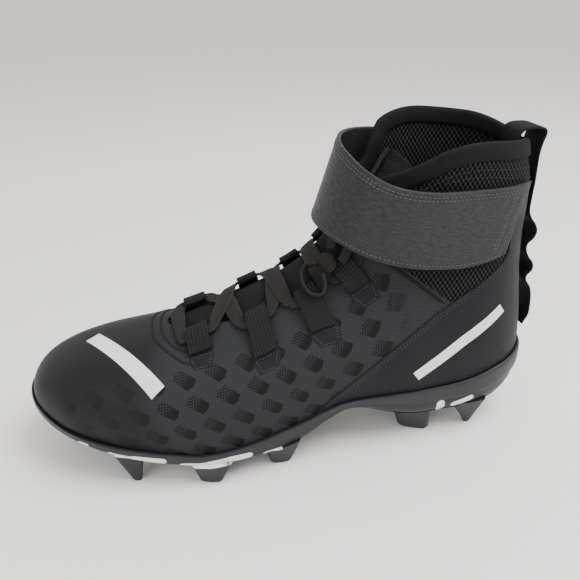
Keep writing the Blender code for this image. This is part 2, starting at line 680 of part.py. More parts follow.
def build_tongue():
    """A padded tongue under the throat, from below the vamp to the ankle, its top leaning back."""
    rows, cols = 17, 11
    outer, inner = [], []
    for i in range(rows):
        u = i / (rows - 1)
        line, back = [], []
        for j in range(cols):
            f = 1 - 2 * j / (cols - 1)
            top = TONGUE_PLACES[1] - TONGUE_ARCH * f * f
            p = TONGUE_PLACES[0] + (top - TONGUE_PLACES[0]) * u
            c = f * (throat_edge(p) + TONGUE_LAP * min(1.0, 0.55 + 2.5 * u))
            lean = max((p - TONGUE_LEAN_FROM) / (TONGUE_PLACES[1] - TONGUE_LEAN_FROM), 0.0) ** 1.5
            behind_rim = min(max((p - RIM_START + 3.5) / 3.0, 0.0), 1.0) * TONGUE_BEHIND_RIM
            lift = -(UPPER_WALL + TONGUE_GAP + behind_rim + TONGUE_LEAN * lean * (1 - 0.4 * f * f))
            line.append(skin(p, c, lift))
            back.append(skin(p, c, lift - TONGUE_WALL * (1 - 0.55 * abs(f) ** 4)))
        outer.append(line)
        inner.append(back)
    return slab("tongue", outer, inner, "tongue")


def curve_row(table, s):
    """A smooth point between the rows of a table of points; s runs from 0 to 1."""
    rows = [(float(k),) + tuple(row) for k, row in enumerate(table)]
    at = s * (len(rows) - 1)
    return [smooth(rows, at, k) for k in range(1, len(rows[0]))]


def build_strap(tree):
    """The ankle strap: a band from the outer heel, round the front, to its fastening on the inner side."""
    rows, cols = 27, 4
    sheet = []
    for i in range(rows):
        v = curve_row(STRAP, i / (rows - 1))
        low = np.array((v[0] * SHOE_LENGTH, v[1] * BALL_WIDTH, v[2] * COLLAR_HEIGHT))
        high = np.array((v[3] * SHOE_LENGTH, v[4] * BALL_WIDTH, v[5] * COLLAR_HEIGHT))
        sheet.append([outside(tree, low + (high - low) * j / (cols - 1), STRAP_CLEAR) for j in range(cols)])
    outer = lifted(sheet, STRAP_WALL)
    return slab("ankle_strap", outer, sheet, "ankle_strap")


def outside(tree, point, clear):
    """The point, moved out across the shoe where it would come nearer to the last than allowed."""
    side = 1.0 if point[1] >= 0 else -1.0
    hit = tree.ray_cast(Vector((point[0], 0.0, point[2])), Vector((0.0, side, 0.0)))[0]
    if hit is None or point[0] > STRAP_FREE_X * SHOE_LENGTH:
        return point
    return np.array((point[0], side * max(side * point[1], side * hit[1] + clear), point[2]))


def lifted(sheet, height):
    """A grid of points moved along its own normals."""
    rows, cols = len(sheet), len(sheet[0])
    out = []
    for i in range(rows):
        line = []
        for j in range(cols):
            u = sheet[min(i + 1, rows - 1)][j] - sheet[max(i - 1, 0)][j]
            v = sheet[i][min(j + 1, cols - 1)] - sheet[i][max(j - 1, 0)]
            n = np.cross(v, u)
            line.append(sheet[i][j] + n * (height / np.linalg.norm(n)))
        out.append(line)
    return out


def collar_line(count):
    """Points of the upper's top edge from the outer throat round the heel to the inner throat."""
    rise = max(count // 3, 2)
    turn = count - rise
    line = []
    for k in range(rise):
        line.append((RIM_START + (LAST_SECTION - RIM_START) * k / rise, 1.0))
    for k in range(turn):
        line.append((float(LAST_SECTION), 1.0 - k / turn))
    points = [(upper_point(p, f, 1, -UPPER_WALL / 2), upper_normal(p, f, 1)) for p, f in line]
    points.append((upper_point(LAST_SECTION, 0.0, 1, -UPPER_WALL / 2), upper_normal(LAST_SECTION, 0.0, 1)))
    points += [(upper_point(p, f, -1, -UPPER_WALL / 2), upper_normal(p, f, -1)) for p, f in reversed(line)]
    return points


def upper_normal(p, f, side):
    return last_normal(*collar_place(p, f, side))


def tube(name, centres, wide, thick, half_wide, half_thick, sides, finish):
    """A closed tube with an oval section along a line of points."""
    verts, faces = [], []
    for at, w, t in zip(centres, wide, thick):
        for k in range(sides):
            a = 2 * math.pi * (k + 0.5) / sides
            verts.append(at + w * half_wide * math.cos(a) + t * half_thick * math.sin(a))
    for i in range(len(centres) - 1):
        for k in range(sides):
            a, b = i * sides + k, i * sides + (k + 1) % sides
            faces.append((a, b, b + sides, a + sides))
    faces.append(tuple(range(sides)))
    last_ring = (len(centres) - 1) * sides
    faces.append(tuple(last_ring + k for k in range(sides)))
    return add(name, verts, faces, finish)


def build_rim():
    """The padded rim sits on the upper's top edge."""
    line = collar_line(21)
    centres, wide, thick = [], [], []
    for k, (point, normal) in enumerate(line):
        tangent = line[min(k + 1, len(line) - 1)][0] - line[max(k - 1, 0)][0]
        away = np.cross(tangent, normal)
        away /= np.linalg.norm(away)
        if away[2] < 0:
            away = -away
        centres.append(point + away * (RIM_GAP + RIM_HEIGHT / 2))
        wide.append(away)
        thick.append(normal)
    return tube("collar_rim", centres, wide, thick, RIM_HEIGHT / 2, RIM_WALL / 2, 6, "collar_rim")


def ribbon(name, centres, across, normals, width, wall, finish):
    """A flat closed strip along a line of points."""
    verts, faces = [], []
    for at, w, n in zip(centres, across, normals):
        for a, b in ((1, 1), (-1, 1), (-1, -1), (1, -1)):
            verts.append(at + w * (a * width / 2) + n * (b * wall / 2))
    for i in range(len(centres) - 1):
        for k in range(4):
            a, b = i * 4 + k, i * 4 + (k + 1) % 4
            faces.append((a, b, b + 4, a + 4))
    end = (len(centres) - 1) * 4
    faces += [(0, 1, 2, 3), (end, end + 1, end + 2, end + 3)]
    return add(name, verts, faces, finish)


def build_pull_loop():
    """Webbing up the heel seam with three folds, and the pull loop over the rim."""
    path = [np.array((x * SHOE_LENGTH, 0.0, z * COLLAR_HEIGHT)) for x, z in PULL_PATH]
    across, normals = [], []
    for k in range(len(path)):
        step = path[min(k + 1, len(path) - 1)] - path[max(k - 1, 0)]
        step /= np.linalg.norm(step)
        across.append(np.array((0.0, 1.0, 0.0)))
        normals.append(np.array((-step[2], 0.0, step[0])))
    return ribbon("heel_pull_loop", path, across, normals, PULL_WIDTH, WEB_WALL, "heel_pull_loop")


def across_place(p, side, inward):
    """The value of c that lies a distance inward of the throat's edge."""
    edge = throat_edge(p)
    rate = np.linalg.norm(last(p, edge + 0.02) - last(p, edge)) / 0.02
    return side * (edge - inward / rate)


def build_lace_loop(k, side):
    """A folded webbing loop that holds the lace at the throat's edge."""
    p = LOOP_PLACES[k]
    half = LOOP_WIDTH / 2 / per_section(p)
    sheet, back = [], []
    shift = OUTER_SHIFT if side > 0 else 0.0
    for i, (inward, lift) in enumerate(LOOP_PATH):
        before, after = LOOP_PATH[max(i - 1, 0)], LOOP_PATH[min(i + 1, len(LOOP_PATH) - 1)]
        run = math.hypot(after[0] - before[0], after[1] - before[1])
        n = ((before[1] - after[1]) / run * LOOP_WALL / 2, (after[0] - before[0]) / run * LOOP_WALL / 2)
        for grid, sign in ((sheet, 1), (back, -1)):
            c = across_place(p, side, inward - shift + sign * n[0])
            grid.append([skin(p + half * w, c, lift + sign * n[1]) for w in (-1.0, 0.0, 1.0)])
    name = f"lace_loop_{'outer' if side > 0 else 'inner'}_{k + 1}"
    return slab(name, sheet, back, "webbing")


def per_section(p):
    """Distance along the instep for one step of p."""
    return np.linalg.norm(last(p + 0.1, 0.3) - last(p - 0.1, 0.3)) / 0.2


def lace_run(name, places):
    """A flat lace over the instep through places given as (section, c, lift, width)."""
    rows = [(float(k),) + row for k, row in enumerate(places)]
    count = (len(places) - 1) * 2 + 1
    values = [[smooth(rows, i / 2, k) for k in (1, 2, 3, 4)] for i in range(count)]
    points = [skin(*v[:3]) for v in values]
    normals = [last_normal(v[0], v[1]) for v in values]
    across = []
    for i in range(count):
        step = points[min(i + 1, count - 1)] - points[max(i - 1, 0)]
        w = np.cross(normals[i], step)
        across.append(w / np.linalg.norm(w) * values[i][3])
    return ribbon(name, points, across, normals, 1.0, LACE_WALL, "lace")


def lace_places(side):
    """Places of one lace end from the middle of the first bar, through the loops in turn."""
    over = 0.0004 * side
    places = [(BAR_PLACE, 0.0, LACE_LIFT, LACE_WIDTH)]
    for k in range(len(LOOP_PLACES)):
        p = LOOP_PLACES[k]
        step = 1.0 / per_section(p)
        half = LOOP_WIDTH / 2 * step
        hold = EYE_INWARD - (OUTER_SHIFT if side > 0 else 0.0)
        eye = across_place(p, side, hold)
        turn = across_place(p, side, hold + 0.002)
        run = across_place(p, side, hold + 0.007)
        if k:
            places.append((p - half - 0.0052 * step, run, LACE_LIFT + over, LACE_WIDTH * 0.9))
        places += [
            (p - half - 0.0030 * step, turn, LACE_LIFT + 0.0007, LACE_EYE_WIDTH),
            (p - half, eye, EYE_LIFT, LACE_EYE_WIDTH),
            (p, eye, EYE_LIFT, LACE_EYE_WIDTH),
            (p + half, eye, EYE_LIFT, LACE_EYE_WIDTH),
            (p + half + 0.0030 * step, turn, LACE_LIFT + 0.0007, LACE_EYE_WIDTH),
            (p + half + 0.0052 * step, run, LACE_LIFT + over, LACE_WIDTH * 0.9),
        ]
        if k < len(LOOP_PLACES) - 1:
            places.append((0.5 * (p + LOOP_PLACES[k + 1]), LACE_CROSS, LACE_LIFT + over, LACE_WIDTH))
            side = -side
    places.append((LACE_TOP, LACE_CROSS, LACE_LIFT + over, LACE_WIDTH))
    return places


def build_lace():
    """The lace's bar and crossings, joined in one solid."""
    lace = lace_run("lace", lace_places(1))
    other = lace_run("lace_other", lace_places(-1))
    join = lace.modifiers.new("join", "BOOLEAN")
    join.operation = "UNION"
    join.solver = "EXACT"
    join.object = other
    with bpy.context.temp_override(object=lace, active_object=lace, selected_objects=[lace]):
        bpy.ops.object.modifier_apply(modifier=join.name)
    bpy.data.objects.remove(other)
    return lace


def cord(name, rows):
    """A cord through places given as (section, c, lift)."""
    count = (len(rows) - 1) * 2 + 1
    curve = bpy.data.curves.new(name, "CURVE")
    curve.dimensions = "3D"
    line = curve.splines.new("POLY")
    line.points.add(count - 1)
    for i in range(count):
        x, y, z = skin(*curve_row(rows, i / (count - 1)))
        line.points[i].co = (x - ORIGIN[0], y - ORIGIN[1], z, 1.0)
    curve.bevel_depth = CORD_RADIUS
    curve.bevel_resolution = 1
    curve.use_fill_caps = True
    obj = bpy.data.objects.new(name, curve)
    bpy.context.scene.collection.objects.link(obj)
    curve.materials.append(material("lace"))
    return obj


def build_knot():
    """The knot of the bow, a small rounded block over the last crossing."""
    at = skin(KNOT_PLACE, KNOT_ACROSS, LACE_LIFT + KNOT_RISE)
    tangent = last(KNOT_PLACE, KNOT_ACROSS + 0.05) - last(KNOT_PLACE, KNOT_ACROSS - 0.05)
    tangent /= np.linalg.norm(tangent)
    normal = last_normal(KNOT_PLACE, KNOT_ACROSS)
    along_foot = np.cross(tangent, normal)
    rings, sides = 6, 10
    verts = []
    for i in range(1, rings):
        for k in range(sides):
            a, b = math.pi * i / rings, 2 * math.pi * k / sides
            verts.append(at + along_foot * (KNOT_SIZE[0] / 2 * math.sin(a) * math.cos(b))
                         + tangent * (KNOT_SIZE[1] / 2 * math.sin(a) * math.sin(b))
                         + normal * (KNOT_SIZE[2] / 2 * math.cos(a)))
    verts += [at + normal * (KNOT_SIZE[2] / 2), at - normal * (KNOT_SIZE[2] / 2)]
    faces = []
    for i in range(rings - 2):
        for k in range(sides):
            a, b = i * sides + k, i * sides + (k + 1) % sides
            faces.append((a, b, b + sides, a + sides))
    top, low = (rings - 1) * sides, (rings - 1) * sides + 1
    for k in range(sides):
        faces.append((top, k, (k + 1) % sides))
        faces.append((low, (rings - 2) * sides + k, (rings - 2) * sides + (k + 1) % sides))
    return add("lace_knot", verts, faces, "lace")


def main():
    for obj in list(bpy.data.objects):
        bpy.data.objects.remove(obj)
    tree = last_tree(130, 81)
    build_outsole(tree)
    build_insole()
    build_upper()
    build_tongue()
    build_strap(tree)
    build_rim()
    build_pull_loop()
    for k in range(len(LOOP_PLACES)):
        for side in (1, -1):
            build_lace_loop(k, side)
    build_lace()
    build_knot()
    for name, rows in LACE_CORDS.items():
        cord(name, rows)


main()
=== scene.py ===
import math

import bmesh
import bpy
import numpy as np
from mathutils import Matrix, Vector
from mathutils.bvhtree import BVHTree


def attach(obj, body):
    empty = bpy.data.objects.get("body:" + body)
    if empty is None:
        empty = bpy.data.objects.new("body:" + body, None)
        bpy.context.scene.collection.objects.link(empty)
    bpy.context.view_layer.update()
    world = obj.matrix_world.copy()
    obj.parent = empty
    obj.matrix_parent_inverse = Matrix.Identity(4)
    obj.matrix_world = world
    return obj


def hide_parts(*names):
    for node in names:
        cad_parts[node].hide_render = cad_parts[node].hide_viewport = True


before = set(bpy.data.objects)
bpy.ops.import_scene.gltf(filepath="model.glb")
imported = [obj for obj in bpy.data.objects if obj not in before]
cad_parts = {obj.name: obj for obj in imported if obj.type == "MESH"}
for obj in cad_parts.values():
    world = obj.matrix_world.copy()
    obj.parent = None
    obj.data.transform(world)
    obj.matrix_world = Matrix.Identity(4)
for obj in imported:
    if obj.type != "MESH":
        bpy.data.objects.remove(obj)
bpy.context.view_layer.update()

# Named sizes of the shoe, in metres; the frame's origin is under the middle of the shoe
SHOE_LENGTH = 0.300
BALL_WIDTH = 0.104
COLLAR_HEIGHT = 0.180
SOLE_HEIGHT = 0.050
WALL_GAP = 0.0009
FOOT_GAP = 0.0007
UPPER_WALL = 0.0018
SIDE_WALL = 0.0019
HEEL_ROUND = 0.050
TOE_ROUND = 0.060
HEEL_X = -0.003
TOE_X = HEEL_X + SHOE_LENGTH + 0.003
ORIGIN = np.array((0.1465, 0.0018, 0.0))
TONGUE_WALL = 0.0035
STRAP_WALL = 0.0024
STRAP_CLEAR = 0.0009
STRAP_FREE_X = 0.40
RIM_HEIGHT = 0.0085
RIM_WALL = 0.0056
RIM_START = 26.0
RIM_GAP = 0.0005
RIM_EXTRA = 0.0012
RIM_THINNING = 0.85
WEB_WALL = 0.0014
PULL_WIDTH = 0.020
LACE_WIDTH = 0.0085
LACE_WALL = 0.0014
LACE_EYE_WIDTH = 0.006
LOOP_WIDTH = 0.013
LOOP_WALL = 0.0011
UNDER_INSET = 0.0035
SPINE = (0.075, 0.875)
TONGUE_GAP = 0.0012
TONGUE_LAP = 0.13
TONGUE_BEHIND_RIM = 0.0022
TONGUE_PLACES = (8.5, 30.3)
TONGUE_ARCH = 2.4
TONGUE_LEAN = 0.011
TONGUE_LEAN_FROM = 23.0
TONGUE_CROWN = 0.0024
THROAT_START = 9.35
FEATHER_END = 22.0
THROAT_ROUND = 1.1
CORNER_DROP = 0.8
INNER_RISE = 1.0
OUTER_RISE = 0.2
INNER_CORNER = 0.15

# Outline of the sole: place along the shoe, centre line, outer and inner half-width
OUTLINE = (
    (-0.01, 0.000, 0.346, 0.332), (0.17, 0.000, 0.346, 0.332), (0.24, 0.000, 0.365, 0.327),
    (0.32, 0.000, 0.376, 0.308), (0.40, 0.000, 0.394, 0.290), (0.50, 0.000, 0.442, 0.317),
    (0.60, -0.010, 0.500, 0.385), (0.67, -0.024, 0.521, 0.409), (0.73, -0.033, 0.514, 0.428),
    (0.80, -0.053, 0.496, 0.409), (0.87, -0.080, 0.478, 0.372), (0.94, -0.113, 0.484, 0.337),
    (1.00, -0.130, 0.500, 0.317),
)

# Heights of the sole: place along the shoe, underside, footbed and top of the side wall
SOLE_LINES = (
    (-0.01, 0.52, 0.66, 1.02), (0.03, 0.47, 0.58, 0.99), (0.07, 0.43, 0.56, 0.92),
    (0.12, 0.40, 0.55, 0.84), (0.18, 0.38, 0.55, 0.79), (0.25, 0.40, 0.57, 0.766),
    (0.30, 0.48, 0.61, 0.77), (0.345, 0.58, 0.66, 0.765), (0.39, 0.62, 0.68, 0.75),
    (0.43, 0.51, 0.62, 0.71), (0.475, 0.36, 0.50, 0.63), (0.52, 0.28, 0.40, 0.56),
    (0.585, 0.25, 0.34, 0.48), (0.665, 0.25, 0.325, 0.426), (0.715, 0.29, 0.36, 0.47),
    (0.775, 0.35, 0.42, 0.52), (0.835, 0.44, 0.51, 0.58), (0.89, 0.51, 0.575, 0.64),
    (0.94, 0.57, 0.635, 0.71), (0.975, 0.61, 0.675, 0.79), (1.00, 0.63, 0.70, 0.84),
)

# Sections of the last, from the toe to the collar: foot of the section along the shoe, its height
# (None on the footbed), its top along the shoe and up, outer and inner half-width, share of its
# height where it is widest, roundness and half the throat's width
SECTIONS = (
    (0.9927, None, 0.9927, 0.204, 0.02, 0.02, 0.30, 0.90, 0.0),
    (0.9893, None, 0.9893, 0.240, 0.04, 0.04, 0.30, 0.88, 0.0),
    (0.9800, None, 0.9800, 0.274, 0.10, 0.08, 0.30, 0.87, 0.0),
    (0.9650, None, 0.9650, 0.305, 0.20, 0.15, 0.30, 0.86, 0.0),
    (0.9433, None, 0.9433, 0.333, 0.30, 0.20, 0.30, 0.85, 0.0),
    (0.9150, None, 0.9150, 0.357, 0.38, 0.25, 0.30, 0.84, 0.0),
    (0.8800, None, 0.8800, 0.378, 0.43, 0.30, 0.30, 0.83, 0.0),
    (0.8367, None, 0.8367, 0.396, 0.46, 0.35, 0.30, 0.83, 0.0),
    (0.7867, None, 0.7867, 0.413, 0.48, 0.38, 0.30, 0.84, 0.0),
    (0.7333, None, 0.7333, 0.430, 0.50, 0.418, 0.30, 0.87, 0.0),
    (0.6800, None, 0.6833, 0.450, 0.505, 0.404, 0.30, 0.93, 0.125),
    (0.6267, None, 0.6333, 0.481, 0.495, 0.394, 0.31, 0.99, 0.173),
    (0.5700, None, 0.5867, 0.511, 0.476, 0.375, 0.32, 1.03, 0.192),
    (0.5100, None, 0.5467, 0.541, 0.447, 0.356, 0.33, 1.05, 0.202),
    (0.4467, None, 0.5100, 0.568, 0.423, 0.351, 0.34, 1.05, 0.207),
    (0.3800, None, 0.4767, 0.597, 0.404, 0.351, 0.35, 1.04, 0.212),
    (0.3100, None, 0.4483, 0.630, 0.389, 0.351, 0.36, 1.02, 0.212),
    (0.2367, None, 0.4233, 0.666, 0.380, 0.356, 0.37, 0.99, 0.207),
    (0.1633, None, 0.4017, 0.708, 0.370, 0.356, 0.38, 0.95, 0.202),
    (0.0967, None, 0.3850, 0.747, 0.361, 0.351, 0.39, 0.92, 0.202),
    (0.0433, None, 0.3733, 0.780, 0.351, 0.346, 0.40, 0.90, 0.197),
    (0.0100, None, 0.3657, 0.803, 0.349, 0.344, 0.41, 0.88, 0.197),
    (-0.0030, None, 0.3617, 0.817, 0.346, 0.342, 0.42, 0.87, 0.197),
    (-0.0040, 0.240, 0.3577, 0.830, 0.346, 0.341, 0.43, 0.86, 0.197),
    (-0.0030, 0.315, 0.3540, 0.847, 0.344, 0.340, 0.44, 0.86, 0.200),
    (0.0015, 0.400, 0.3500, 0.866, 0.341, 0.338, 0.45, 0.86, 0.205),
    (0.0090, 0.490, 0.3460, 0.886, 0.337, 0.334, 0.46, 0.87, 0.215),
    (0.0155, 0.580, 0.3427, 0.905, 0.332, 0.330, 0.47, 0.88, 0.235),
    (0.0180, 0.672, 0.3393, 0.923, 0.327, 0.326, 0.48, 0.90, 0.260),
    (0.0165, 0.765, 0.3367, 0.942, 0.324, 0.324, 0.49, 0.92, 0.285),
    (0.0165, 0.850, 0.3343, 0.960, 0.324, 0.324, 0.50, 0.95, 0.305),
    (0.0260, 0.920, 0.3333, 0.978, 0.330, 0.330, 0.50, 0.98, 0.322),
    (0.0330, 0.966, 0.3330, 1.014, 0.334, 0.334, 0.50, 0.99, 0.330),
)
LAST_SECTION = len(SECTIONS) - 2
TOP_SECTION = len(SECTIONS) - 1

# Studs: place along and across, tip length and width, root length and width, how far the root lies
# ahead of the tip and outward of it, the tip's turn in degrees and its height
STUDS = (
    (0.795, 0.360, 0.005, 0.005, 0.018, 0.011, 0.003, 0.0010, 0.0, 0.0),
    (0.657, 0.445, 0.013, 0.006, 0.024, 0.012, -0.001, 0.0010, 16.0, 0.0),
    (0.520, 0.360, 0.012, 0.006, 0.022, 0.012, -0.001, 0.0030, 0.0, 0.0),
    (0.793, -0.395, 0.006, 0.005, 0.018, 0.011, 0.002, 0.0010, 0.0, 0.0),
    (0.655, -0.385, 0.012, 0.006, 0.022, 0.012, 0.001, 0.0010, -10.0, 0.0),
    (0.520, -0.265, 0.011, 0.006, 0.020, 0.012, -0.001, 0.0015, 0.0, 0.0),
    (0.930, -0.110, 0.005, 0.006, 0.013, 0.013, 0.000, 0.0, 0.0, 0.0045),
    (0.228, 0.205, 0.019, 0.0065, 0.024, 0.011, 0.005, 0.0065, 24.0, 0.0),
    (0.112, 0.215, 0.004, 0.005, 0.023, 0.011, 0.004, 0.0060, 12.0, 0.0),
    (0.228, -0.195, 0.018, 0.0065, 0.023, 0.011, 0.005, 0.0060, -24.0, 0.0),
    (0.112, -0.205, 0.004, 0.005, 0.022, 0.011, 0.004, 0.0055, -12.0, 0.0),
)

# The ankle strap's inner face: lower edge and upper edge, each along, across and up
STRAP = (
    (0.100, 0.317, 0.661, 0.047, 0.202, 0.867), (0.143, 0.356, 0.650, 0.093, 0.279, 0.869),
    (0.190, 0.375, 0.644, 0.153, 0.327, 0.872), (0.263, 0.397, 0.658, 0.227, 0.363, 0.878),
    (0.313, 0.392, 0.675, 0.280, 0.368, 0.889), (0.357, 0.354, 0.697, 0.320, 0.335, 0.906),
    (0.392, 0.268, 0.719, 0.350, 0.258, 0.933), (0.415, 0.142, 0.736, 0.368, 0.142, 0.961),
    (0.423, 0.000, 0.744, 0.375, 0.018, 0.981), (0.412, -0.144, 0.744, 0.364, -0.135, 0.989),
    (0.384, -0.260, 0.736, 0.337, -0.262, 0.989), (0.341, -0.337, 0.722, 0.294, -0.340, 0.983),
    (0.287, -0.375, 0.706, 0.247, -0.368, 0.972), (0.227, -0.380, 0.694, 0.193, -0.368, 0.956),
    (0.167, -0.370, 0.689, 0.140, -0.350, 0.944), (0.127, -0.350, 0.689, 0.100, -0.315, 0.939),
)

# Middle of the heel webbing: along and up
PULL_PATH = (
    (-0.009, 0.330), (-0.019, 0.365), (-0.020, 0.400), (-0.018, 0.440), (-0.013, 0.470),
    (-0.003, 0.495), (-0.002, 0.515), (-0.012, 0.535), (-0.011, 0.558), (-0.001, 0.580),
    (0.0065, 0.605), (0.0065, 0.630), (-0.005, 0.650), (-0.009, 0.672), (-0.004, 0.695),
    (0.0065, 0.718), (0.0128, 0.745), (0.0124, 0.790), (0.0110, 0.840), (0.0110, 0.885),
    (0.0105, 0.925), (0.0070, 0.960), (0.0025, 0.985), (0.0035, 0.998), (0.0110, 1.004),
    (0.0250, 1.006), (0.0410, 1.004), (0.0510, 0.994), (0.0553, 0.970), (0.0550, 0.940),
    (0.0530, 0.910), (0.0475, 0.885), (0.0415, 0.865), (0.0378, 0.845),
)

# Loops for the lace: inward of the throat's edge and height over the upper, in metres
LOOP_PLACES = (10.55, 12.9, 15.3, 17.7)
LOOP_PATH = (
    (-0.0160, 0.0009), (-0.0080, 0.0009), (0.0000, 0.0009), (0.0050, 0.0010), (0.0078, 0.0018),
    (0.0088, 0.0031), (0.0078, 0.0044), (0.0050, 0.0052), (0.0000, 0.0050), (-0.0080, 0.0034),
    (-0.0160, 0.0024),
)
BAR_PLACE = 9.82
EYE_INWARD = 0.0032
# The outer loops: how far outward of the throat's edge each lies, and its share of the length
OUTER_LOOPS = ((0.0105, 0.50), (0.0080, 0.95), (0.0070, 0.85), (0.0080, 0.40))
LACE_CROSS = 0.03
EYE_LIFT = 0.0030
LACE_LIFT = 0.0016
LACE_TOP = 19.0
KNOT_PLACE = 17.2
KNOT_ACROSS = 0.21
KNOT_SIZE = (0.009, 0.012, 0.0065)
KNOT_RISE = 0.0081
CORD_WIDTH = 0.0050

# Stitches: how far apart they lie, and the length, width and height of one, in metres
HEEL_STITCH = (0.0020, (0.0015, 0.0006, 0.0004))
COLLAR_STITCH = (0.0019, (0.0012, 0.0004, 0.0003))
EDGE_STITCH = (0.0020, (0.0014, 0.00055, 0.0004))
FLAP_STITCH = (0.0016, (0.0010, 0.00042, 0.00032))
STRAP_STITCH = (0.0024, (0.0016, 0.00062, 0.00050))
STITCH_LIFT = 0.0004
# Rows of stitches on the strap: down from its upper edge, up from its foot, and in from its heel end
STRAP_ROWS = ((0.0026, True), (0.0044, True), (0.0022, False))
STRAP_END_ROWS = (0.0045, 0.0065, 0.0105, 0.0125)

# The lace's bow and ends: section of the last, c on it, and height over it in metres
LACE_CORDS = {
    "lace_bow": (
        (16.64, 0.19, 0.0094), (16.10, 0.17, 0.0092), (15.65, 0.19, 0.0087), (15.40, 0.24, 0.0083),
        (15.50, 0.29, 0.0080), (15.90, 0.31, 0.0079), (16.30, 0.29, 0.0081), (16.64, 0.24, 0.0090),
    ),
    "lace_end_upper": (
        (17.80, 0.17, 0.0078), (18.40, 0.13, 0.0066), (19.50, 0.10, 0.0042), (21.00, 0.09, 0.0016),
        (23.00, 0.08, -0.0006), (25.00, 0.06, -0.0036), (27.00, 0.03, -0.0070), (29.00, 0.00, -0.0106),
        (30.40, -0.02, -0.0134),
    ),
    "lace_end_lower": (
        (17.80, 0.24, 0.0080), (18.60, 0.22, 0.0072), (19.60, 0.19, 0.0056), (20.60, 0.17, 0.0046),
        (21.80, 0.16, 0.0042), (23.00, 0.16, 0.0040),
    ),
}


# The camera of the photograph
CAMERA_PLACE = np.array((0.1950, 0.3259, 0.2536)) - ORIGIN
CAMERA_HEADING = math.radians(-99.2)
CAMERA_DOWN = math.radians(26.0)
CAMERA_ROLL = math.radians(-1.16)
CAMERA_LENS = 39.0


def make_camera():
    look = Vector((
        math.cos(CAMERA_DOWN) * math.cos(CAMERA_HEADING),
        math.cos(CAMERA_DOWN) * math.sin(CAMERA_HEADING),
        -math.sin(CAMERA_DOWN),
    ))
    level = Vector((math.sin(CAMERA_HEADING), -math.cos(CAMERA_HEADING), 0.0))
    up = level.cross(look)
    right = level * math.cos(CAMERA_ROLL) + up * math.sin(CAMERA_ROLL)
    up = right.cross(look)
    camera = bpy.data.objects.new("camera", bpy.data.cameras.new("camera"))
    bpy.context.scene.collection.objects.link(camera)
    camera.matrix_world = Matrix((right, up, -look)).transposed().to_4x4()
    camera.location = CAMERA_PLACE
    camera.data.lens = CAMERA_LENS
    camera.data.sensor_width = 36.0
    camera.data.clip_start = 0.01
    bpy.context.scene.camera = camera


# Shape of the last


def curve(table, place, column):
    """A smooth curve through one column of a table, read at many places at once."""
    table = np.asarray(table, float)
    xs, ys = table[:, 0], table[:, column]
    slopes = np.gradient(ys, xs)
    slopes[1:-1] = (ys[2:] - ys[:-2]) / (xs[2:] - xs[:-2])
    x = np.clip(place, xs[0], xs[-1])
    i = np.clip(np.searchsorted(xs, x) - 1, 0, len(xs) - 2)
    run = xs[i + 1] - xs[i]
    t = (x - xs[i]) / run
    return ((2 * t**3 - 3 * t**2 + 1) * ys[i] + (t**3 - 2 * t**2 + t) * slopes[i] * run
            + (3 * t**2 - 2 * t**3) * ys[i + 1] + (t**3 - t**2) * slopes[i + 1] * run)


def centre(x):
    return curve(OUTLINE, x / SHOE_LENGTH, 1) * BALL_WIDTH


def half_width(x, side, inset=0.0):
    """Half-width of the sole's outline at x, drawn in by the inset."""
    full = np.where(side > 0, curve(OUTLINE, x / SHOE_LENGTH, 2), curve(OUTLINE, x / SHOE_LENGTH, 3))
    heel = np.clip((x - HEEL_X - inset) / (HEEL_ROUND - inset), 0.0, 1.0)
    toe = np.clip((TOE_X - inset - x) / (TOE_ROUND - inset), 0.0, 1.0)
    return (full * BALL_WIDTH - inset) * np.sqrt(1 - (1 - heel) ** 2) * np.sqrt(1 - (1 - toe) ** 2)


def underside(x):
    return curve(SOLE_LINES, x / SHOE_LENGTH, 1) * SOLE_HEIGHT


def footbed(x):
    return curve(SOLE_LINES, x / SHOE_LENGTH, 2) * SOLE_HEIGHT


def wall_top(x):
    return curve(SOLE_LINES, x / SHOE_LENGTH, 3) * SOLE_HEIGHT


FEATHER_INSET = SIDE_WALL + WALL_GAP
HEEL_FOOT_X = SECTIONS[22][0] * SHOE_LENGTH
SECTION_TABLE = [(float(k), row[0], 0.0) + row[2:] for k, row in enumerate(SECTIONS)]
FOOT_TABLE = [
    (float(k), footbed(HEEL_FOOT_X) + FOOT_GAP if row[1] is None else row[1] * COLLAR_HEIGHT)
    for k, row in enumerate(SECTIONS) if k >= 22
]


def section(p, side):
    """The last's section at p: foot, top, half-widths and shape."""
    tip = TOE_X - FEATHER_INSET
    near_toe = tip + (SECTIONS[1][0] * SHOE_LENGTH - tip) * p
    xb = np.where(p < 1.0, near_toe, curve(SECTION_TABLE, p, 1) * SHOE_LENGTH)
    zb = np.where(p < FEATHER_END, footbed(xb) + FOOT_GAP, curve(FOOT_TABLE, p, 1))
    xt = np.where(p < 9.0, xb, curve(SECTION_TABLE, p, 3) * SHOE_LENGTH)
    first = zb + (SECTIONS[1][3] * COLLAR_HEIGHT - zb) * np.sqrt(np.clip(p, 0.0, 1.0))
    zt = np.where(p < 1.0, first, curve(SECTION_TABLE, p, 4) * COLLAR_HEIGHT)
    start = np.where(p < FEATHER_END, half_width(xb, side, FEATHER_INSET), 0.0)
    widest = np.where(side > 0, curve(SECTION_TABLE, p, 5), curve(SECTION_TABLE, p, 6)) * BALL_WIDTH
    bulge = start * 1.025
    widest = 0.5 * (widest + bulge + np.sqrt((widest - bulge) ** 2 + 1e-6))
    widest = np.where(p < 1.0, widest * np.sqrt(np.clip(p, 0.0, 1.0)), widest)
    return xb, zb, xt, zt, start, widest, curve(SECTION_TABLE, p, 7), curve(SECTION_TABLE, p, 8)


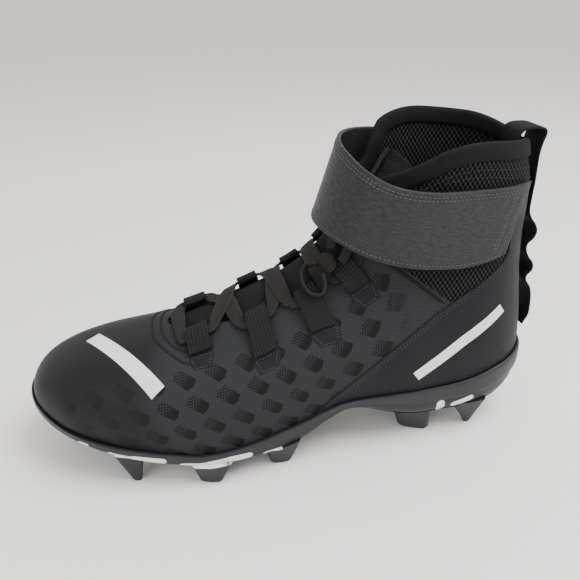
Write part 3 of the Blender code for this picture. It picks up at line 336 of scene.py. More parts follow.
def last(p, c):
    """Points of the last. c is 0 on the top centre line, 1 at the outer foot, -1 at the inner foot."""
    p, c = np.broadcast_arrays(np.asarray(p, float), np.asarray(c, float))
    side = np.where(c >= 0, 1.0, -1.0)
    xb, zb, xt, zt, start, widest, level, power = section(p, side)
    height = np.hypot(xt - xb, zt - zb)
    lower = 0.9 * level
    a = np.minimum(np.abs(c), 1.0)
    high = np.clip(1 - a / (1 - lower), 0.0, 1.0) * math.pi / 2
    low = np.clip((1 - a) / lower, 0.0, 1.0) * math.pi / 2
    b = 1 - start / np.maximum(widest, 1e-6)
    above = a <= 1 - lower
    w = np.where(above, widest * np.cos(high) ** power, start + (widest - start) * np.sin(low))
    q = np.where(above, level + (1 - level) * np.sin(high) ** power,
                 level * ((1 - b) * 2 * low / math.pi + b * (1 - np.cos(low)))) * height
    share = q / np.maximum(height, 1e-6)
    mid = centre(xb) * (1 - share) + centre(xt) * share
    return np.stack((xb + (xt - xb) * share, mid + side * w, zb + (zt - zb) * share), -1) - ORIGIN


def unit(v):
    return v / np.maximum(np.linalg.norm(v, axis=-1, keepdims=True), 1e-12)


def last_normal(p, c):
    """Outward normals of the last, by small steps along and across."""
    p, c = np.broadcast_arrays(np.asarray(p, float), np.asarray(c, float))
    h, k = 0.02, 0.004
    edge = np.abs(c) + k > 1.0
    lowest = np.where((p >= FEATHER_END) & edge, FEATHER_END, 0.0)
    du = last(np.minimum(p + h, TOP_SECTION), c) - last(np.maximum(p - h, lowest), c)
    sign = np.where(c >= 0, 1.0, -1.0)
    inside = last(p, np.where(edge, c, c + k)) - last(p, np.where(edge, c - sign * k, c - k))
    seam = last(p, np.full_like(p, k - 1.0)) - last(p, np.full_like(p, 1.0 - k))
    dc = np.where((edge & (p >= FEATHER_END))[..., None], seam, inside * np.where(edge, sign, 1.0)[..., None])
    n = unit(np.cross(dc, du))
    return np.where((p < 0.01)[..., None], np.array((1.0, 0.0, 0.0)), n)


def skin(p, c, lift=0.0):
    """Points lifted off the last along its normals."""
    return last(p, c) + np.asarray(lift, float)[..., None] * last_normal(p, c)


def ease(share):
    """A share from 0 to 1 that starts and ends gently."""
    share = np.clip(share, 0.0, 1.0)
    return share * share * (3 - 2 * share)


def throat_edge(p, side=1.0):
    """The value of c where the throat's edge cuts the section at p."""
    run = np.clip((p - THROAT_START) / THROAT_ROUND, 0.0, 1.0)
    start = SECTIONS[11][8] * BALL_WIDTH * np.sqrt(1 - (1 - run) ** 2) * (0.55 + 0.35 * run)
    edge = np.where(run < 1.0, start, curve(SECTION_TABLE, p, 9) * BALL_WIDTH)
    edge = edge * (1 - np.where(np.asarray(side) < 0, INNER_CORNER, 0.0) * ease((p - 26.0) / 4.0))
    form = section(p, np.ones_like(p))
    angle = np.arccos(np.clip(edge / form[5], 0.0, 1.0) ** (1 / form[7]))
    return np.where(p <= THROAT_START, 0.0, (1 - angle / (math.pi / 2)) * (1 - 0.9 * form[6]))


def collar_place(p, f, side):
    """Section and c of the upper at f, 0 at its foot and 1 at the throat or the collar's corner."""
    drop = CORNER_DROP * np.maximum((f - 0.7) / 0.3, 0.0) ** 2 * (p / LAST_SECTION) ** 12
    rise = np.where(np.asarray(side) < 0, INNER_RISE, OUTER_RISE) * ease(f / 0.45) * ease((p - 27.0) / 4.0)
    return np.maximum(p - drop + rise, 0.0), side * (1 - (1 - throat_edge(p, side)) * f)


def last_tree(rows=200, cols=121):
    """The last as a search tree."""
    p, c = np.meshgrid(np.linspace(0, TOP_SECTION, rows), np.linspace(1, -1, cols), indexing="ij")
    points = last(p, c).reshape(-1, 3)
    i, j = np.meshgrid(np.arange(rows - 1), np.arange(cols - 1), indexing="ij")
    a = (i * cols + j).ravel()
    faces = np.stack((a, a + 1, a + cols + 1, a + cols), -1)
    return BVHTree.FromPolygons([Vector(v) for v in points], [tuple(f) for f in faces.tolist()])


# Making meshes


def deselect():
    if bpy.context.object and bpy.context.object.mode != "OBJECT":
        bpy.ops.object.mode_set(mode="OBJECT")
    bpy.ops.object.select_all(action="DESELECT")


def grid(name, points, uv=None):
    """A grid primitive whose corners are laid on a table of points."""
    rows, cols = points.shape[:2]
    deselect()
    bpy.ops.mesh.primitive_grid_add(x_subdivisions=cols - 1, y_subdivisions=rows - 1, size=1.0)
    piece = bpy.context.object
    piece.name = name
    piece.data.vertices.foreach_set("co", points.reshape(-1).astype(np.float32))
    if uv is not None:
        corners = np.empty(len(piece.data.loops), np.int32)
        piece.data.loops.foreach_get("vertex_index", corners)
        places = uv.reshape(-1, 2)[corners].reshape(-1).astype(np.float32)
        piece.data.uv_layers[0].data.foreach_set("uv", places)
    piece.data.update()
    return piece


def modify(piece, kind, **settings):
    """Adds a modifier and applies it."""
    modifier = piece.modifiers.new(kind.lower(), kind)
    for name, value in settings.items():
        setattr(modifier, name, value)
    bpy.context.view_layer.objects.active = piece
    bpy.ops.object.modifier_apply(modifier=modifier.name)


def join(name, pieces):
    deselect()
    for piece in pieces:
        piece.select_set(True)
    bpy.context.view_layer.objects.active = pieces[0]
    bpy.ops.object.join()
    bpy.context.object.name = name
    return bpy.context.object


def close(piece, distance=0.00002, ends=True):
    """Welds the seam of a rolled grid, closes its ends and turns its faces outwards."""
    deselect()
    piece.select_set(True)
    bpy.context.view_layer.objects.active = piece
    bpy.ops.object.mode_set(mode="EDIT")
    bpy.ops.mesh.select_all(action="SELECT")
    bpy.ops.mesh.remove_doubles(threshold=distance)
    if ends:
        bpy.ops.mesh.select_all(action="DESELECT")
        bpy.ops.mesh.select_mode(type="EDGE")
        bpy.ops.mesh.select_non_manifold()
        bpy.ops.mesh.edge_face_add()
        bpy.ops.mesh.select_all(action="SELECT")
    bpy.ops.mesh.normals_make_consistent(inside=False)
    bpy.ops.object.mode_set(mode="OBJECT")
    return piece


def distances(points, axis):
    """Running length along one axis of a table of points."""
    steps = np.linalg.norm(np.diff(points, axis=axis), axis=-1)
    pad = [(0, 0)] * steps.ndim
    pad[axis] = (1, 0)
    return np.pad(np.cumsum(steps, axis=axis), pad)


def route(rows, count):
    """A smooth line through the rows of a table."""
    table = np.column_stack((np.arange(len(rows)), np.asarray(rows, float)))
    at = np.linspace(0, len(rows) - 1, count)
    return np.stack([curve(table, at, k) for k in range(1, table.shape[1])], -1)


def swept(name, centres, across, normals, widths, walls, sides=20, square=0.35):
    """A closed band: a rounded rectangle moved along a line of points."""
    count = len(centres)
    widths, walls = np.broadcast_to(widths, count), np.broadcast_to(walls, count)
    angle = 2 * math.pi * (np.arange(sides + 1) % sides + 0.5) / sides
    a = np.sign(np.cos(angle)) * np.abs(np.cos(angle)) ** square / 2
    b = np.sign(np.sin(angle)) * np.abs(np.sin(angle)) ** square / 2
    points = (centres[:, None] + across[:, None] * (widths[:, None] * a)[..., None]
              + normals[:, None] * (walls[:, None] * b)[..., None])
    run = distances(centres, 0)
    uv = np.stack((np.repeat(run[:, None], sides + 1, 1), widths[:, None] * a), -1)
    return close(grid(name, points, uv))


def dress(piece, finish, nodes=(), angle=40.0):
    """Gives a piece its finish, its smooth shading and its place on the shoe."""
    for k, made in enumerate(finish if isinstance(finish, (list, tuple)) else [finish]):
        if len(piece.data.materials) > k:
            piece.data.materials[k] = made
        else:
            piece.data.materials.append(made)
    deselect()
    piece.select_set(True)
    bpy.context.view_layer.objects.active = piece
    bpy.ops.object.shade_smooth_by_angle(angle=math.radians(angle))
    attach(piece, "root")
    if nodes:
        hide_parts(*nodes)
    return piece


def spaced(line, pitch):
    """Positions, in rows of the line, that lie a pitch apart."""
    run = distances(line, 0)
    count = max(int(run[-1] / pitch), 1)
    return np.interp((np.arange(count) + 0.5) * pitch, run, np.arange(len(line)))


def at_rows(table, rows):
    k = np.minimum(rows.astype(int), len(table) - 2)
    t = (rows - k)[:, None]
    return table[k] * (1 - t) + table[k + 1] * t


def sew(name, line, normal, stitch, finish):
    """A row of stitches: one small rounded thread, copied along a line into one piece."""
    pitch, size = stitch
    deselect()
    bpy.ops.mesh.primitive_uv_sphere_add(segments=8, ring_count=5, radius=0.5)
    row = bpy.context.object
    row.name = name
    shape = np.array([v.co[:] for v in row.data.vertices]) * size
    faces = [tuple(f.vertices) for f in row.data.polygons]
    rows = spaced(line, pitch)
    at, ahead = at_rows(line, rows), unit(at_rows(np.gradient(line, axis=0), rows))
    up = unit(at_rows(normal, rows))
    side = unit(np.cross(up, ahead))
    points = (at[:, None] + shape[None, :, 0:1] * ahead[:, None] + shape[None, :, 1:2] * side[:, None]
              + shape[None, :, 2:3] * up[:, None]).reshape(-1, 3)
    copies = [tuple(v + k * len(shape) for v in face) for k in range(len(at)) for face in faces]
    mesh = bpy.data.meshes.new(name)
    mesh.from_pydata([tuple(v) for v in points], [], copies)
    row.data = mesh
    return dress(row, finish, (), 80.0)


# Finishes


class Value:
    """A shader value; the operators on it add Math nodes."""

    def __init__(self, paint, socket):
        self.paint, self.socket = paint, socket

    def math(self, operation, *others, clamp=False):
        return self.paint.math(operation, self, *others, clamp=clamp)

    def __add__(self, other):
        return self.math("ADD", other)

    def __radd__(self, other):
        return self.math("ADD", other)

    def __sub__(self, other):
        return self.math("SUBTRACT", other)

    def __rsub__(self, other):
        return self.paint.math("SUBTRACT", other, self)

    def __mul__(self, other):
        return self.math("MULTIPLY", other)

    def __rmul__(self, other):
        return self.math("MULTIPLY", other)

    def __truediv__(self, other):
        return self.math("DIVIDE", other)

    def __abs__(self):
        return self.math("ABSOLUTE")

    def over(self, edge, soft):
        """0 below the edge and 1 above it, with a soft step."""
        return ((self - edge) / soft + 0.5).math("MINIMUM", 1.0).math("MAXIMUM", 0.0)

    def wave(self, pitch):
        """A sine of this value from 0 to 1."""
        return (self * (2 * math.pi / pitch)).math("SINE") * 0.5 + 0.5

    def cell(self, middle, half):
        """Distance from the middle of a row of equal cells."""
        return self.paint.math("WRAP", self - middle, half, -half)


class Paint:
    """A material, the nodes that make it and the constants of its shader."""

    def __init__(self, name, **constants):
        self.made = bpy.data.materials.new(name)
        self.made.use_nodes = True
        self.tree = self.made.node_tree
        self.shader = self.tree.nodes["Principled BSDF"]
        for key, value in constants.items():
            self.shader.inputs[key.replace("_", " ").title().replace("Ior", "IOR")].default_value = value

    def node(self, kind, settings=(), sockets=(), out=0):
        """Any node: its settings first, then the values or links of its sockets."""
        node = self.tree.nodes.new(kind)
        for name, value in dict(settings).items():
            setattr(node, name, value)
        for name, value in dict(sockets).items():
            if isinstance(value, Value):
                self.tree.links.new(value.socket, node.inputs[name])
            else:
                node.inputs[name].default_value = value
        return Value(self, node.outputs[out])

    def math(self, operation, *values, clamp=False):
        settings = {"operation": operation, "use_clamp": clamp}
        return self.node("ShaderNodeMath", settings, dict(enumerate(values)))

    def split(self, vector):
        parts = self.node("ShaderNodeSeparateXYZ", (), {0: vector})
        return [Value(self, parts.socket.node.outputs[k]) for k in range(3)]

    def place(self):
        """Place on the shoe in millimetres from the heel, the centre line and the floor."""
        x, y, z = self.split(self.node("ShaderNodeTexCoord", out=3))
        return (x + float(ORIGIN[0])) * 1000.0, (y + float(ORIGIN[1])) * 1000.0, z * 1000.0

    def cloth(self):
        """Place on the piece's own cloth in millimetres."""
        u, v, _ = self.split(self.node("ShaderNodeTexCoord", out=2))
        return u * 1000.0, v * 1000.0

    def point(self, x, y, z=0.0):
        return self.node("ShaderNodeCombineXYZ", (), {0: x, 1: y, 2: z})

    def noise(self, vector, scale, detail=2.0, rough=0.5):
        sockets = {"Vector": vector, "Scale": scale, "Detail": detail, "Roughness": rough}
        return self.node("ShaderNodeTexNoise", (), sockets)

    def mix(self, factor, low, high):
        """A colour between two colours."""
        low, high = ((*c, 1.0) if isinstance(c, tuple) else c for c in (low, high))
        return self.node("ShaderNodeMix", {"data_type": "RGBA"}, {0: factor, 6: low, 7: high}, 2)

    def bump(self, height, distance, strength=1.0, normal=None):
        """Relief of a height from 0 to 1 over a distance in metres."""
        sockets = {"Strength": strength, "Distance": distance, "Height": height}
        if normal is not None:
            sockets["Normal"] = normal
        return self.node("ShaderNodeBump", (), sockets)

    def finish(self, colour=None, rough=None, normal=None):
        for name, value in (("Base Color", colour), ("Roughness", rough), ("Normal", normal)):
            if value is not None:
                self.tree.links.new(value.socket, self.shader.inputs[name])
        return self.made


def seam_place(z):
    """Where the heel panel's seam runs: place along the shoe at a height, both in millimetres."""
    share = np.clip((z - 32.0) / 83.0, 0.0, 1.0)
    return 138.0 - 1.373 * (z - 32.0) + 16.0 * share * (1 - share) + 1.27 * np.maximum(z - 115.0, 0.0)


def capsule(x, z, start, end, radius, soft=0.4):
    """A mask of a rounded bar between two points of a side view."""
    dx, dz = end[0] - start[0], end[1] - start[1]
    share = ((x - start[0]) * dx + (z - start[1]) * dz) / (dx * dx + dz * dz)
    share = share.math("MINIMUM", 1.0).math("MAXIMUM", 0.0)
    off = ((x - start[0] - share * dx) * (x - start[0] - share * dx)
           + (z - start[1] - share * dz) * (z - start[1] - share * dz)).math("SQRT")
    return 1.0 - off.over(radius, soft)


def bar(x, z, start, end, half):
    """A mask of a straight bar with blunt ends."""
    run = math.hypot(end[0] - start[0], end[1] - start[1])
    dx, dz = (end[0] - start[0]) / run, (end[1] - start[1]) / run
    along_bar = (x - start[0]) * dx + (z - start[1]) * dz
    off = abs((x - start[0]) * dz - (z - start[1]) * dx)
    return (1.0 - off.over(half, 0.3)) * along_bar.over(0.0, 0.3) * (1.0 - along_bar.over(run, 0.3))


# Windows in the quarter: first place along the cloth and first row of two sets of rows, in millimetres
WINDOW_PITCH = 16.3
WINDOW_ROWS = 14.4
WINDOW_SETS = ((129.4, 61.5), (137.55, 47.1))
WINDOW_TILT = math.radians(38)
# The white inlays in the side of the plate: start, end and radius in a side view, in millimetres
INLAYS = (
    ((263.5, 27.2), (267.0, 27.6), 1.3), ((250.5, 23.6), (236.0, 21.0), 1.6),
    ((238.0, 21.2), (223.0, 19.6), 2.4), ((212.5, 15.3), (198.0, 15.4), 1.7),
    ((198.0, 15.4), (186.0, 16.6), 2.1), ((186.0, 16.6), (175.5, 16.9), 2.4),
    ((166.0, 14.8), (157.0, 15.4), 1.2), ((57.6, 21.4), (57.6, 25.0), 2.6),
    ((49.0, 22.8), (38.0, 26.2), 1.8),
)
WHITE = (0.74, 0.74, 0.74)


def windows(u, v):
    """The sunk cells of the quarter, long hexagons in offset rows, and how far each has lost its mesh."""
    mask = deep = None
    cos, sin = math.cos(WINDOW_TILT), math.sin(WINDOW_TILT)
    for first, row in WINDOW_SETS:
        a, b = u.cell(first, WINDOW_PITCH / 2), v.cell(row, WINDOW_ROWS)
        run = a * cos + b * sin
        length, width = abs(run), abs(b * cos - a * sin)
        cell = 1.0 - (width - 3.1).math("MAXIMUM", length + width * 0.4 - 6.9).over(0.0, 0.35)
        part = cell * run.over(0.5, 3.5)
        mask = cell if mask is None else mask.math("MAXIMUM", cell)
        deep = part if deep is None else deep.math("MAXIMUM", part)
    return mask, deep


def upper_finish():
    """Fused cloth with sunk windows, a knit insert at the ankle, and a plain white band."""
    paint = Paint("upper_cloth", specular_ior_level=0.12)
    x, y, z = paint.place()
    u, v = paint.cloth()
    across = abs(v)
    knit = (z - 95.0 - (x - 60.0) * 0.774).over(0.0, 0.8)
    cell, deep = windows(u, across)
    cell = cell * across.over(41.0, 1.0) * (1.0 - knit)
    front = u.over(104.0, 18.0)
    cell = cell * (front * 0.35 + 0.65) * (1.0 - u.over(246.0, 16.0))
    holes = (u.wave(1.5) * across.wave(1.5)).over(0.22, 0.25)
    cell = cell * (deep + (1.0 - deep) * holes)
    dash = across.wave(1.05) * (u + across * 0.9).wave(2.3).over(0.35, 0.4) * front * (1.0 - cell)
    fine = paint.noise(paint.point(u, v), 1.6, 3.0)
    wide = paint.noise(paint.point(x, y, z), 0.03, 2.0)
    base = paint.mix(front * 0.65 + wide * 0.35, (0.0100, 0.0100, 0.0112), (0.0200, 0.0208, 0.0242))
    base = paint.mix(dash * 0.55, base, (0.038, 0.039, 0.044))
    base = paint.mix(cell * 0.78, base, (0.0016, 0.0016, 0.0020))
    hexes = None
    for a, b in ((x.cell(0.0, 1.3), z.cell(0.0, 2.0)), (x.cell(1.3, 1.3), z.cell(2.0, 2.0))):
        off = (a * a + b * b * 0.40).math("SQRT")
        hexes = off if hexes is None else hexes.math("MINIMUM", off)
    yarn = hexes.over(0.80, 0.3)
    base = paint.mix(knit, base, paint.mix(yarn, (0.0014, 0.0014, 0.0017), (0.027, 0.0275, 0.031)))
    marks = bar(x, y + (70.0 - z) * 0.4, (258.5, -8.0), (221.0, 46.0), 4.4) * z.over(40.0, 1.0)
    base = paint.mix(marks, base, WHITE)
    relief = (dash * 0.30 + fine * 0.10 - cell * 0.55) * (1.0 - knit)
    relief = relief + knit * (yarn * 0.8 - 0.7) + marks * 0.3
    normal = paint.bump(relief, 0.0005, 0.9)
    rough = 0.62 - cell * 0.08 - (1.0 - front) * 0.16 + knit * 0.25 + fine * 0.08
    return paint.finish(base, rough.math("MAXIMUM", 0.2), normal)


def lining_finish():
    """Spacer mesh with slanting rows of small holes."""
    paint = Paint("lining_mesh", specular_ior_level=0.15)
    u, v = paint.cloth()
    a, b = u * 0.8 + v * 0.6, v * 0.8 - u * 0.6
    hole = (a.cell(0.0, 0.75) * a.cell(0.0, 0.75) + b.cell(0.0, 0.75) * b.cell(0.0, 0.75)).math("SQRT")
    thread = hole.over(0.42, 0.25)
    colour = paint.mix(thread, (0.010, 0.010, 0.012), (0.090, 0.091, 0.098))
    return paint.finish(colour, thread * 0.1 + 0.8, paint.bump(thread, 0.0004))


def panel_finish():
    """Smooth satin covering of the heel, with a plain white bar."""
    paint = Paint("heel_panel_skin", specular_ior_level=0.16)
    x, y, z = paint.place()
    grain = paint.noise(paint.point(x, y, z), 1.4, 3.0)
    wide = paint.noise(paint.point(x, y, z), 0.05, 2.0)
    mark = bar(x, z, (76.0, 49.0), (25.0, 85.0), 3.4) * y.over(0.0, 1.0)
    colour = paint.mix(wide, (0.0060, 0.0065, 0.0085), (0.0105, 0.0115, 0.0145))
    colour = paint.mix(mark, colour, WHITE)
    return paint.finish(colour, 0.52 + grain * 0.12, paint.bump(grain * 0.25 + mark * 0.6, 0.0003, 0.7))


def sole_finish():
    """Moulded plastic with off-white inlays in the plate's side."""
    paint = Paint("sole_plastic", specular_ior_level=0.28)
    x, y, z = paint.place()
    inlay = None
    for start, end, radius in INLAYS:
        mask = capsule(x, z, start, end, radius)
        inlay = mask if inlay is None else inlay.math("MAXIMUM", mask)
    inlay = inlay * abs(y + 3.0).over(25.0, 1.5)
    grain = paint.noise(paint.point(x, y, z), 1.2, 3.0)
    scuff = paint.noise(paint.point(x * 0.25, y, z * 2.2), 0.35, 4.0).over(0.62, 0.06)
    colour = paint.mix(grain, (0.0100, 0.0110, 0.0140), (0.0165, 0.0178, 0.0215))
    colour = paint.mix(scuff * 0.35, colour, (0.030, 0.031, 0.034))
    colour = paint.mix(inlay, colour, WHITE)
    rough = 0.40 + grain * 0.12 + scuff * 0.12
    return paint.finish(colour, rough, paint.bump(grain * 0.3 + inlay * 0.7, 0.0003, 0.6))


def strap_finish():
    """Brushed leather, mottled along its length; its lighter cut edge and dark inner face are finishes of
    their own.
    """
    paint = Paint("strap_leather", specular_ior_level=0.30)
    u, v = paint.cloth()
    patch = paint.noise(paint.point(u * 0.28, v * 1.1), 0.9, 3.0, 0.6)
    fine = paint.noise(paint.point(u * 0.7, v * 2.4), 0.9, 2.0)
    tone = (patch * 0.75 + fine * 0.25).over(0.5, 0.28)
    colour = paint.mix(tone, (0.0080, 0.0074, 0.0092), (0.0215, 0.0200, 0.0240))
    return paint.finish(colour, 0.58 - tone * 0.16, paint.bump(tone * 0.5 + fine * 0.5, 0.0004, 0.8))


def knit_finish(name, low, high, pitch, distance=0.0005):
    """Looped knit: small rounded loops in offset rows."""
    paint = Paint(name, specular_ior_level=0.15)
    u, v = paint.cloth()
    first = u.wave(pitch) * v.wave(pitch)
    second = (u + pitch / 2).wave(pitch) * (v + pitch / 2).wave(pitch)
    loop = first.math("MAXIMUM", second)
    fuzz = paint.noise(paint.point(u, v), 1.5 / pitch, 3.0)
    height = loop * 0.75 + fuzz * 0.25
    return paint.finish(paint.mix(height, low, high), fuzz * 0.1 + 0.82, paint.bump(height, distance))


def webbing_finish(name, ribs, low, high, band=None):
    """Woven tape: ribs along it, fine cross threads, and a coarser grid where it folds."""
    paint = Paint(name, specular_ior_level=0.18)
    u, v = paint.cloth()
    rib = v.wave(ribs)
    thread = u.wave(0.55) * 0.5 + rib * 0.5
    if band:
        grid_zone = u.over(band[0], 0.6) * (1.0 - u.over(band[1], 0.6))
        square = (u.wave(2.0).over(0.25, 0.3) * v.wave(2.0).over(0.25, 0.3))
        thread = thread * (1.0 - grid_zone) + square * grid_zone
    fuzz = paint.noise(paint.point(u, v), 1.1, 3.0)
    height = thread * 0.8 + fuzz * 0.2
    return paint.finish(paint.mix(height, low, high), 0.84 - rib * 0.08, paint.bump(height, 0.0004))


def lace_finish():
    """Flat woven lace: slanting ribs that meet in the middle."""
    paint = Paint("lace_weave", specular_ior_level=0.15)
    u, v = paint.cloth()
    rib = (u + abs(v) * 0.8).wave(1.1)
    fuzz = paint.noise(paint.point(u, v), 1.2, 3.0)
    edge = abs(v).over(3.6, 0.5)
    height = rib * 0.7 + fuzz * 0.3 + edge * 0.3
    colour = paint.mix(height, (0.0070, 0.0063, 0.0060), (0.0340, 0.0310, 0.0290))
    return paint.finish(colour, 0.86 - rib * 0.06, paint.bump(height, 0.00045))


def thread_finish(name, colour):
    """Twisted sewing thread."""
    paint = Paint(name, specular_ior_level=0.3)
    x, y, z = paint.place()
    twist = (x + y + z).wave(0.35)
    fuzz = paint.noise(paint.point(x, y, z), 2.0)
    low = tuple(0.45 * k for k in colour)
    mixed = paint.mix(twist * 0.6 + fuzz * 0.4, low, colour)
    return paint.finish(mixed, 0.62 + fuzz * 0.1, paint.bump(twist, 0.0002))


def felt_finish(name, low, high):
    """Brushed cloth without a visible weave."""
    paint = Paint(name, specular_ior_level=0.12)
    x, y, z = paint.place()
    nap = paint.noise(paint.point(x, y, z), 1.8, 4.0)
    wide = paint.noise(paint.point(x, y, z), 0.12, 2.0)
    mixed = paint.mix(nap * 0.6 + wide * 0.4, low, high)
    return paint.finish(mixed, 0.84 + nap * 0.1, paint.bump(nap, 0.0004))


def floor_finish():
    paint = Paint("floor_paper", specular_ior_level=0.2)
    x, y, z = paint.place()
    tone = paint.noise(paint.point(x, y, z), 0.004, 2.0)
    return paint.finish(paint.mix(tone, (0.895, 0.878, 0.858), (0.925, 0.908, 0.888)), 0.9 + tone * 0.05)


# Upper

UPPER_ROWS = (70, 150, 60)
UPPER_COLS = 60


def upper_grid(side):
    """Places and points of one side of the upper."""
    vamp, quarter, shaft = UPPER_ROWS
    p = np.concatenate((
        THROAT_START * np.linspace(0, 1, vamp, endpoint=False) ** 1.3,
        np.linspace(THROAT_START, FEATHER_END, quarter, endpoint=False),
        np.linspace(FEATHER_END, LAST_SECTION, shaft),
    ))
    f = np.linspace(0, 1, UPPER_COLS)
    p, f = np.meshgrid(p, f, indexing="ij")
    return collar_place(p, f, side)


def cloth_uv(p, c, points):
    """Real lengths over the cloth: along from the toe, and across from the centre line."""
    steps = np.linspace(0, 1, 41)
    rows = p[:, 0]
    run = distances(last(rows[:, None], steps[None, :]), 1)
    across = np.array([np.interp(np.abs(row), steps, line) for row, line in zip(c, run)])
    return np.stack((distances(points, 0), np.sign(c) * across), -1)


def build_upper(outside, lining):
    sides = []
    for side in (1, -1):
        p, c = upper_grid(side)
        points = skin(p, c)
        if side < 0:
            p, c, points = p[:, ::-1], c[:, ::-1], points[:, ::-1]
        sides.append(grid("upper_side", points[:, ::-1], cloth_uv(p, c, points)[:, ::-1]))
    upper = join("upper_skin", sides)
    close(upper, 0.00004, ends=False)
    modify(upper, "SOLIDIFY", thickness=UPPER_WALL, offset=-1.0, use_even_offset=False,
           material_offset=1, material_offset_rim=0)
    return dress(upper, [outside, lining], ["upper"])


def seam_edge(p):
    """c of the heel panel's seam on the sections at p."""
    steps = np.linspace(0.30, 1.0, 281)
    at = (last(p[:, None], steps[None, :]) + ORIGIN) * 1000.0
    front = at[..., 0] > seam_place(at[..., 2])
    found = np.where(front.any(1), front.shape[1] - 1 - np.argmax(front[:, ::-1], 1), 0)
    return steps[found]


def build_heel_panel(finish, thread, edge_finish):
    """The smooth covering of the heel, laid on the upper behind its slanting seam, and its stitches."""
    p = np.linspace(12.9, 29.6, 200)
    edge = np.convolve(np.pad(seam_edge(p), 3, mode="edge"), np.ones(7) / 7, "valid")
    sides = []
    for side in (1, -1):
        c = edge[:, None] + (1 - edge[:, None]) * np.linspace(0, 1, 40)[None, :]
        points = skin(np.repeat(p[:, None], 40, 1), side * c, np.full(c.shape, 0.00003))
        if side < 0:
            points = points[:, ::-1]
        sides.append(grid("heel_side", points[:, ::-1]))
        keep = (edge < 0.97) & (p < 27.5)
        for n, inside in enumerate((0.0016, 0.0032)):
            rate = np.linalg.norm(last(p, edge + 0.02) - last(p, edge), axis=-1) / 0.02
            cc = side * (edge + inside / rate)
            line, up = skin(p, cc, np.full(len(p), 0.0006)), last_normal(p, cc)
            sew(f"heel_stitches_{'outer' if side > 0 else 'inner'}_{n}", line[keep], up[keep], HEEL_STITCH,
                thread)
    panel = join("heel_panel", sides)
    close(panel, 0.00004, ends=False)
    modify(panel, "SOLIDIFY", thickness=0.0005, offset=1.0, use_even_offset=False, material_offset_rim=1)
    return dress(panel, [finish, edge_finish], (), 40.0)


def build_piping(name, rows, width, wall, finish, lift=0.0):
    """A raised line on the upper through places given as (section, c)."""
    line = route(rows, 120)
    at, normal = skin(line[:, 0], line[:, 1], np.full(120, lift)), last_normal(line[:, 0], line[:, 1])
    across = unit(np.cross(normal, np.gradient(at, axis=0)))
    taper = np.sqrt(np.clip(np.minimum(np.arange(120), np.arange(119, -1, -1)) / 10.0, 0.15, 1.0))
    piping = swept(name, at, across, normal, width * taper, wall * taper, 12, 0.7)
    return dress(piping, finish, (), 60.0)


def build_throat_base(finish):
    for n, more in enumerate((0.0, 0.34)):
        rows = [(10.9 - more, 0.335 + 0.1 * more), (10.2 - more, 0.285 + 0.1 * more), (9.6 - more, 0.215),
                (9.22 - more, 0.11), (9.12 - more, 0.0), (9.22 - more, -0.11), (9.6 - more, -0.215),
                (10.2 - more, -0.285 - 0.1 * more), (10.9 - more, -0.335 - 0.1 * more)]
        build_piping(f"throat_line_{n + 1}", rows, 0.0013, 0.0009, finish)


QUARTER_EDGE = ((19.4, 0.30), (20.10, 0.405), (20.5, 0.48), (20.93, 0.555))
QUARTER_EDGE_STITCHES = ((19.2, 0.31), (19.9, 0.415), (20.3, 0.49), (20.7, 0.565))


def build_quarter_edge(finish, thread):
    """The raised edge between the quarter and the knit insert, with a row of stitches below it."""
    build_piping("quarter_edge", QUARTER_EDGE, 0.0018, 0.0011, finish)
    p, c = route(QUARTER_EDGE_STITCHES, 60).T
    sew("quarter_edge_stitches", skin(p, c, np.full(60, STITCH_LIFT)), last_normal(p, c), EDGE_STITCH,
        thread)


def loop_shift(k, side):
    """How far outward of the throat's edge a loop lies, and its share of the full length."""
    return OUTER_LOOPS[k] if side > 0 else (0.0, 1.0)


def build_anchor(k, side, finish, thread):
    """The flap that holds a webbing loop's end on the quarter, with its dotted stitches."""
    p = LOOP_PLACES[k]
    shift, kept = loop_shift(k, side)
    shift += LOOP_PATH[0][0] * (1 - kept)
    half = LOOP_WIDTH * 0.56 / per_section(p)
    w, d = np.meshgrid(np.linspace(-1, 1, 24), np.linspace(0.0125, 0.0255, 20), indexing="ij")
    pp = p + half * w * (1 - 0.25 * ease((d - 0.0185) / 0.007))
    c = across_place(np.full_like(d, p), side, -d - shift)
    points = skin(pp, c, np.full(c.shape, 0.00003))
    name = f"loop_flap_{'outer' if side > 0 else 'inner'}_{k + 1}"
    flap = grid(name, points if side < 0 else points[::-1])
    modify(flap, "SOLIDIFY", thickness=0.0003, offset=1.0, use_even_offset=False)
    dress(flap, finish, (), 40.0)
    for n, (a, b) in enumerate((((-0.8, 0.0178), (-0.52, 0.0245)), ((0.8, 0.0178), (0.52, 0.0245)),
                                ((-0.52, 0.0245), (0.52, 0.0245)), ((-0.8, 0.0178), (0.8, 0.0178)))):
        t = np.linspace(0, 1, 20)
        ww, dd = a[0] + (b[0] - a[0]) * t, a[1] + (b[1] - a[1]) * t
        cc = across_place(np.full(20, p), side, -dd - shift)
        line = skin(p + half * ww, cc, np.full(20, STITCH_LIFT))
        sew(f"{name}_stitches_{n}", line, last_normal(p + half * ww, cc), FLAP_STITCH, thread)


# Sole

RING_COUNT = 320
# The side wall grows slimmer from here to the toe, in metres along the shoe, by this share
TOE_SLIM_FROM = 0.255
TOE_SLIM_RUN = 0.035
TOE_SLIMMING = 0.5


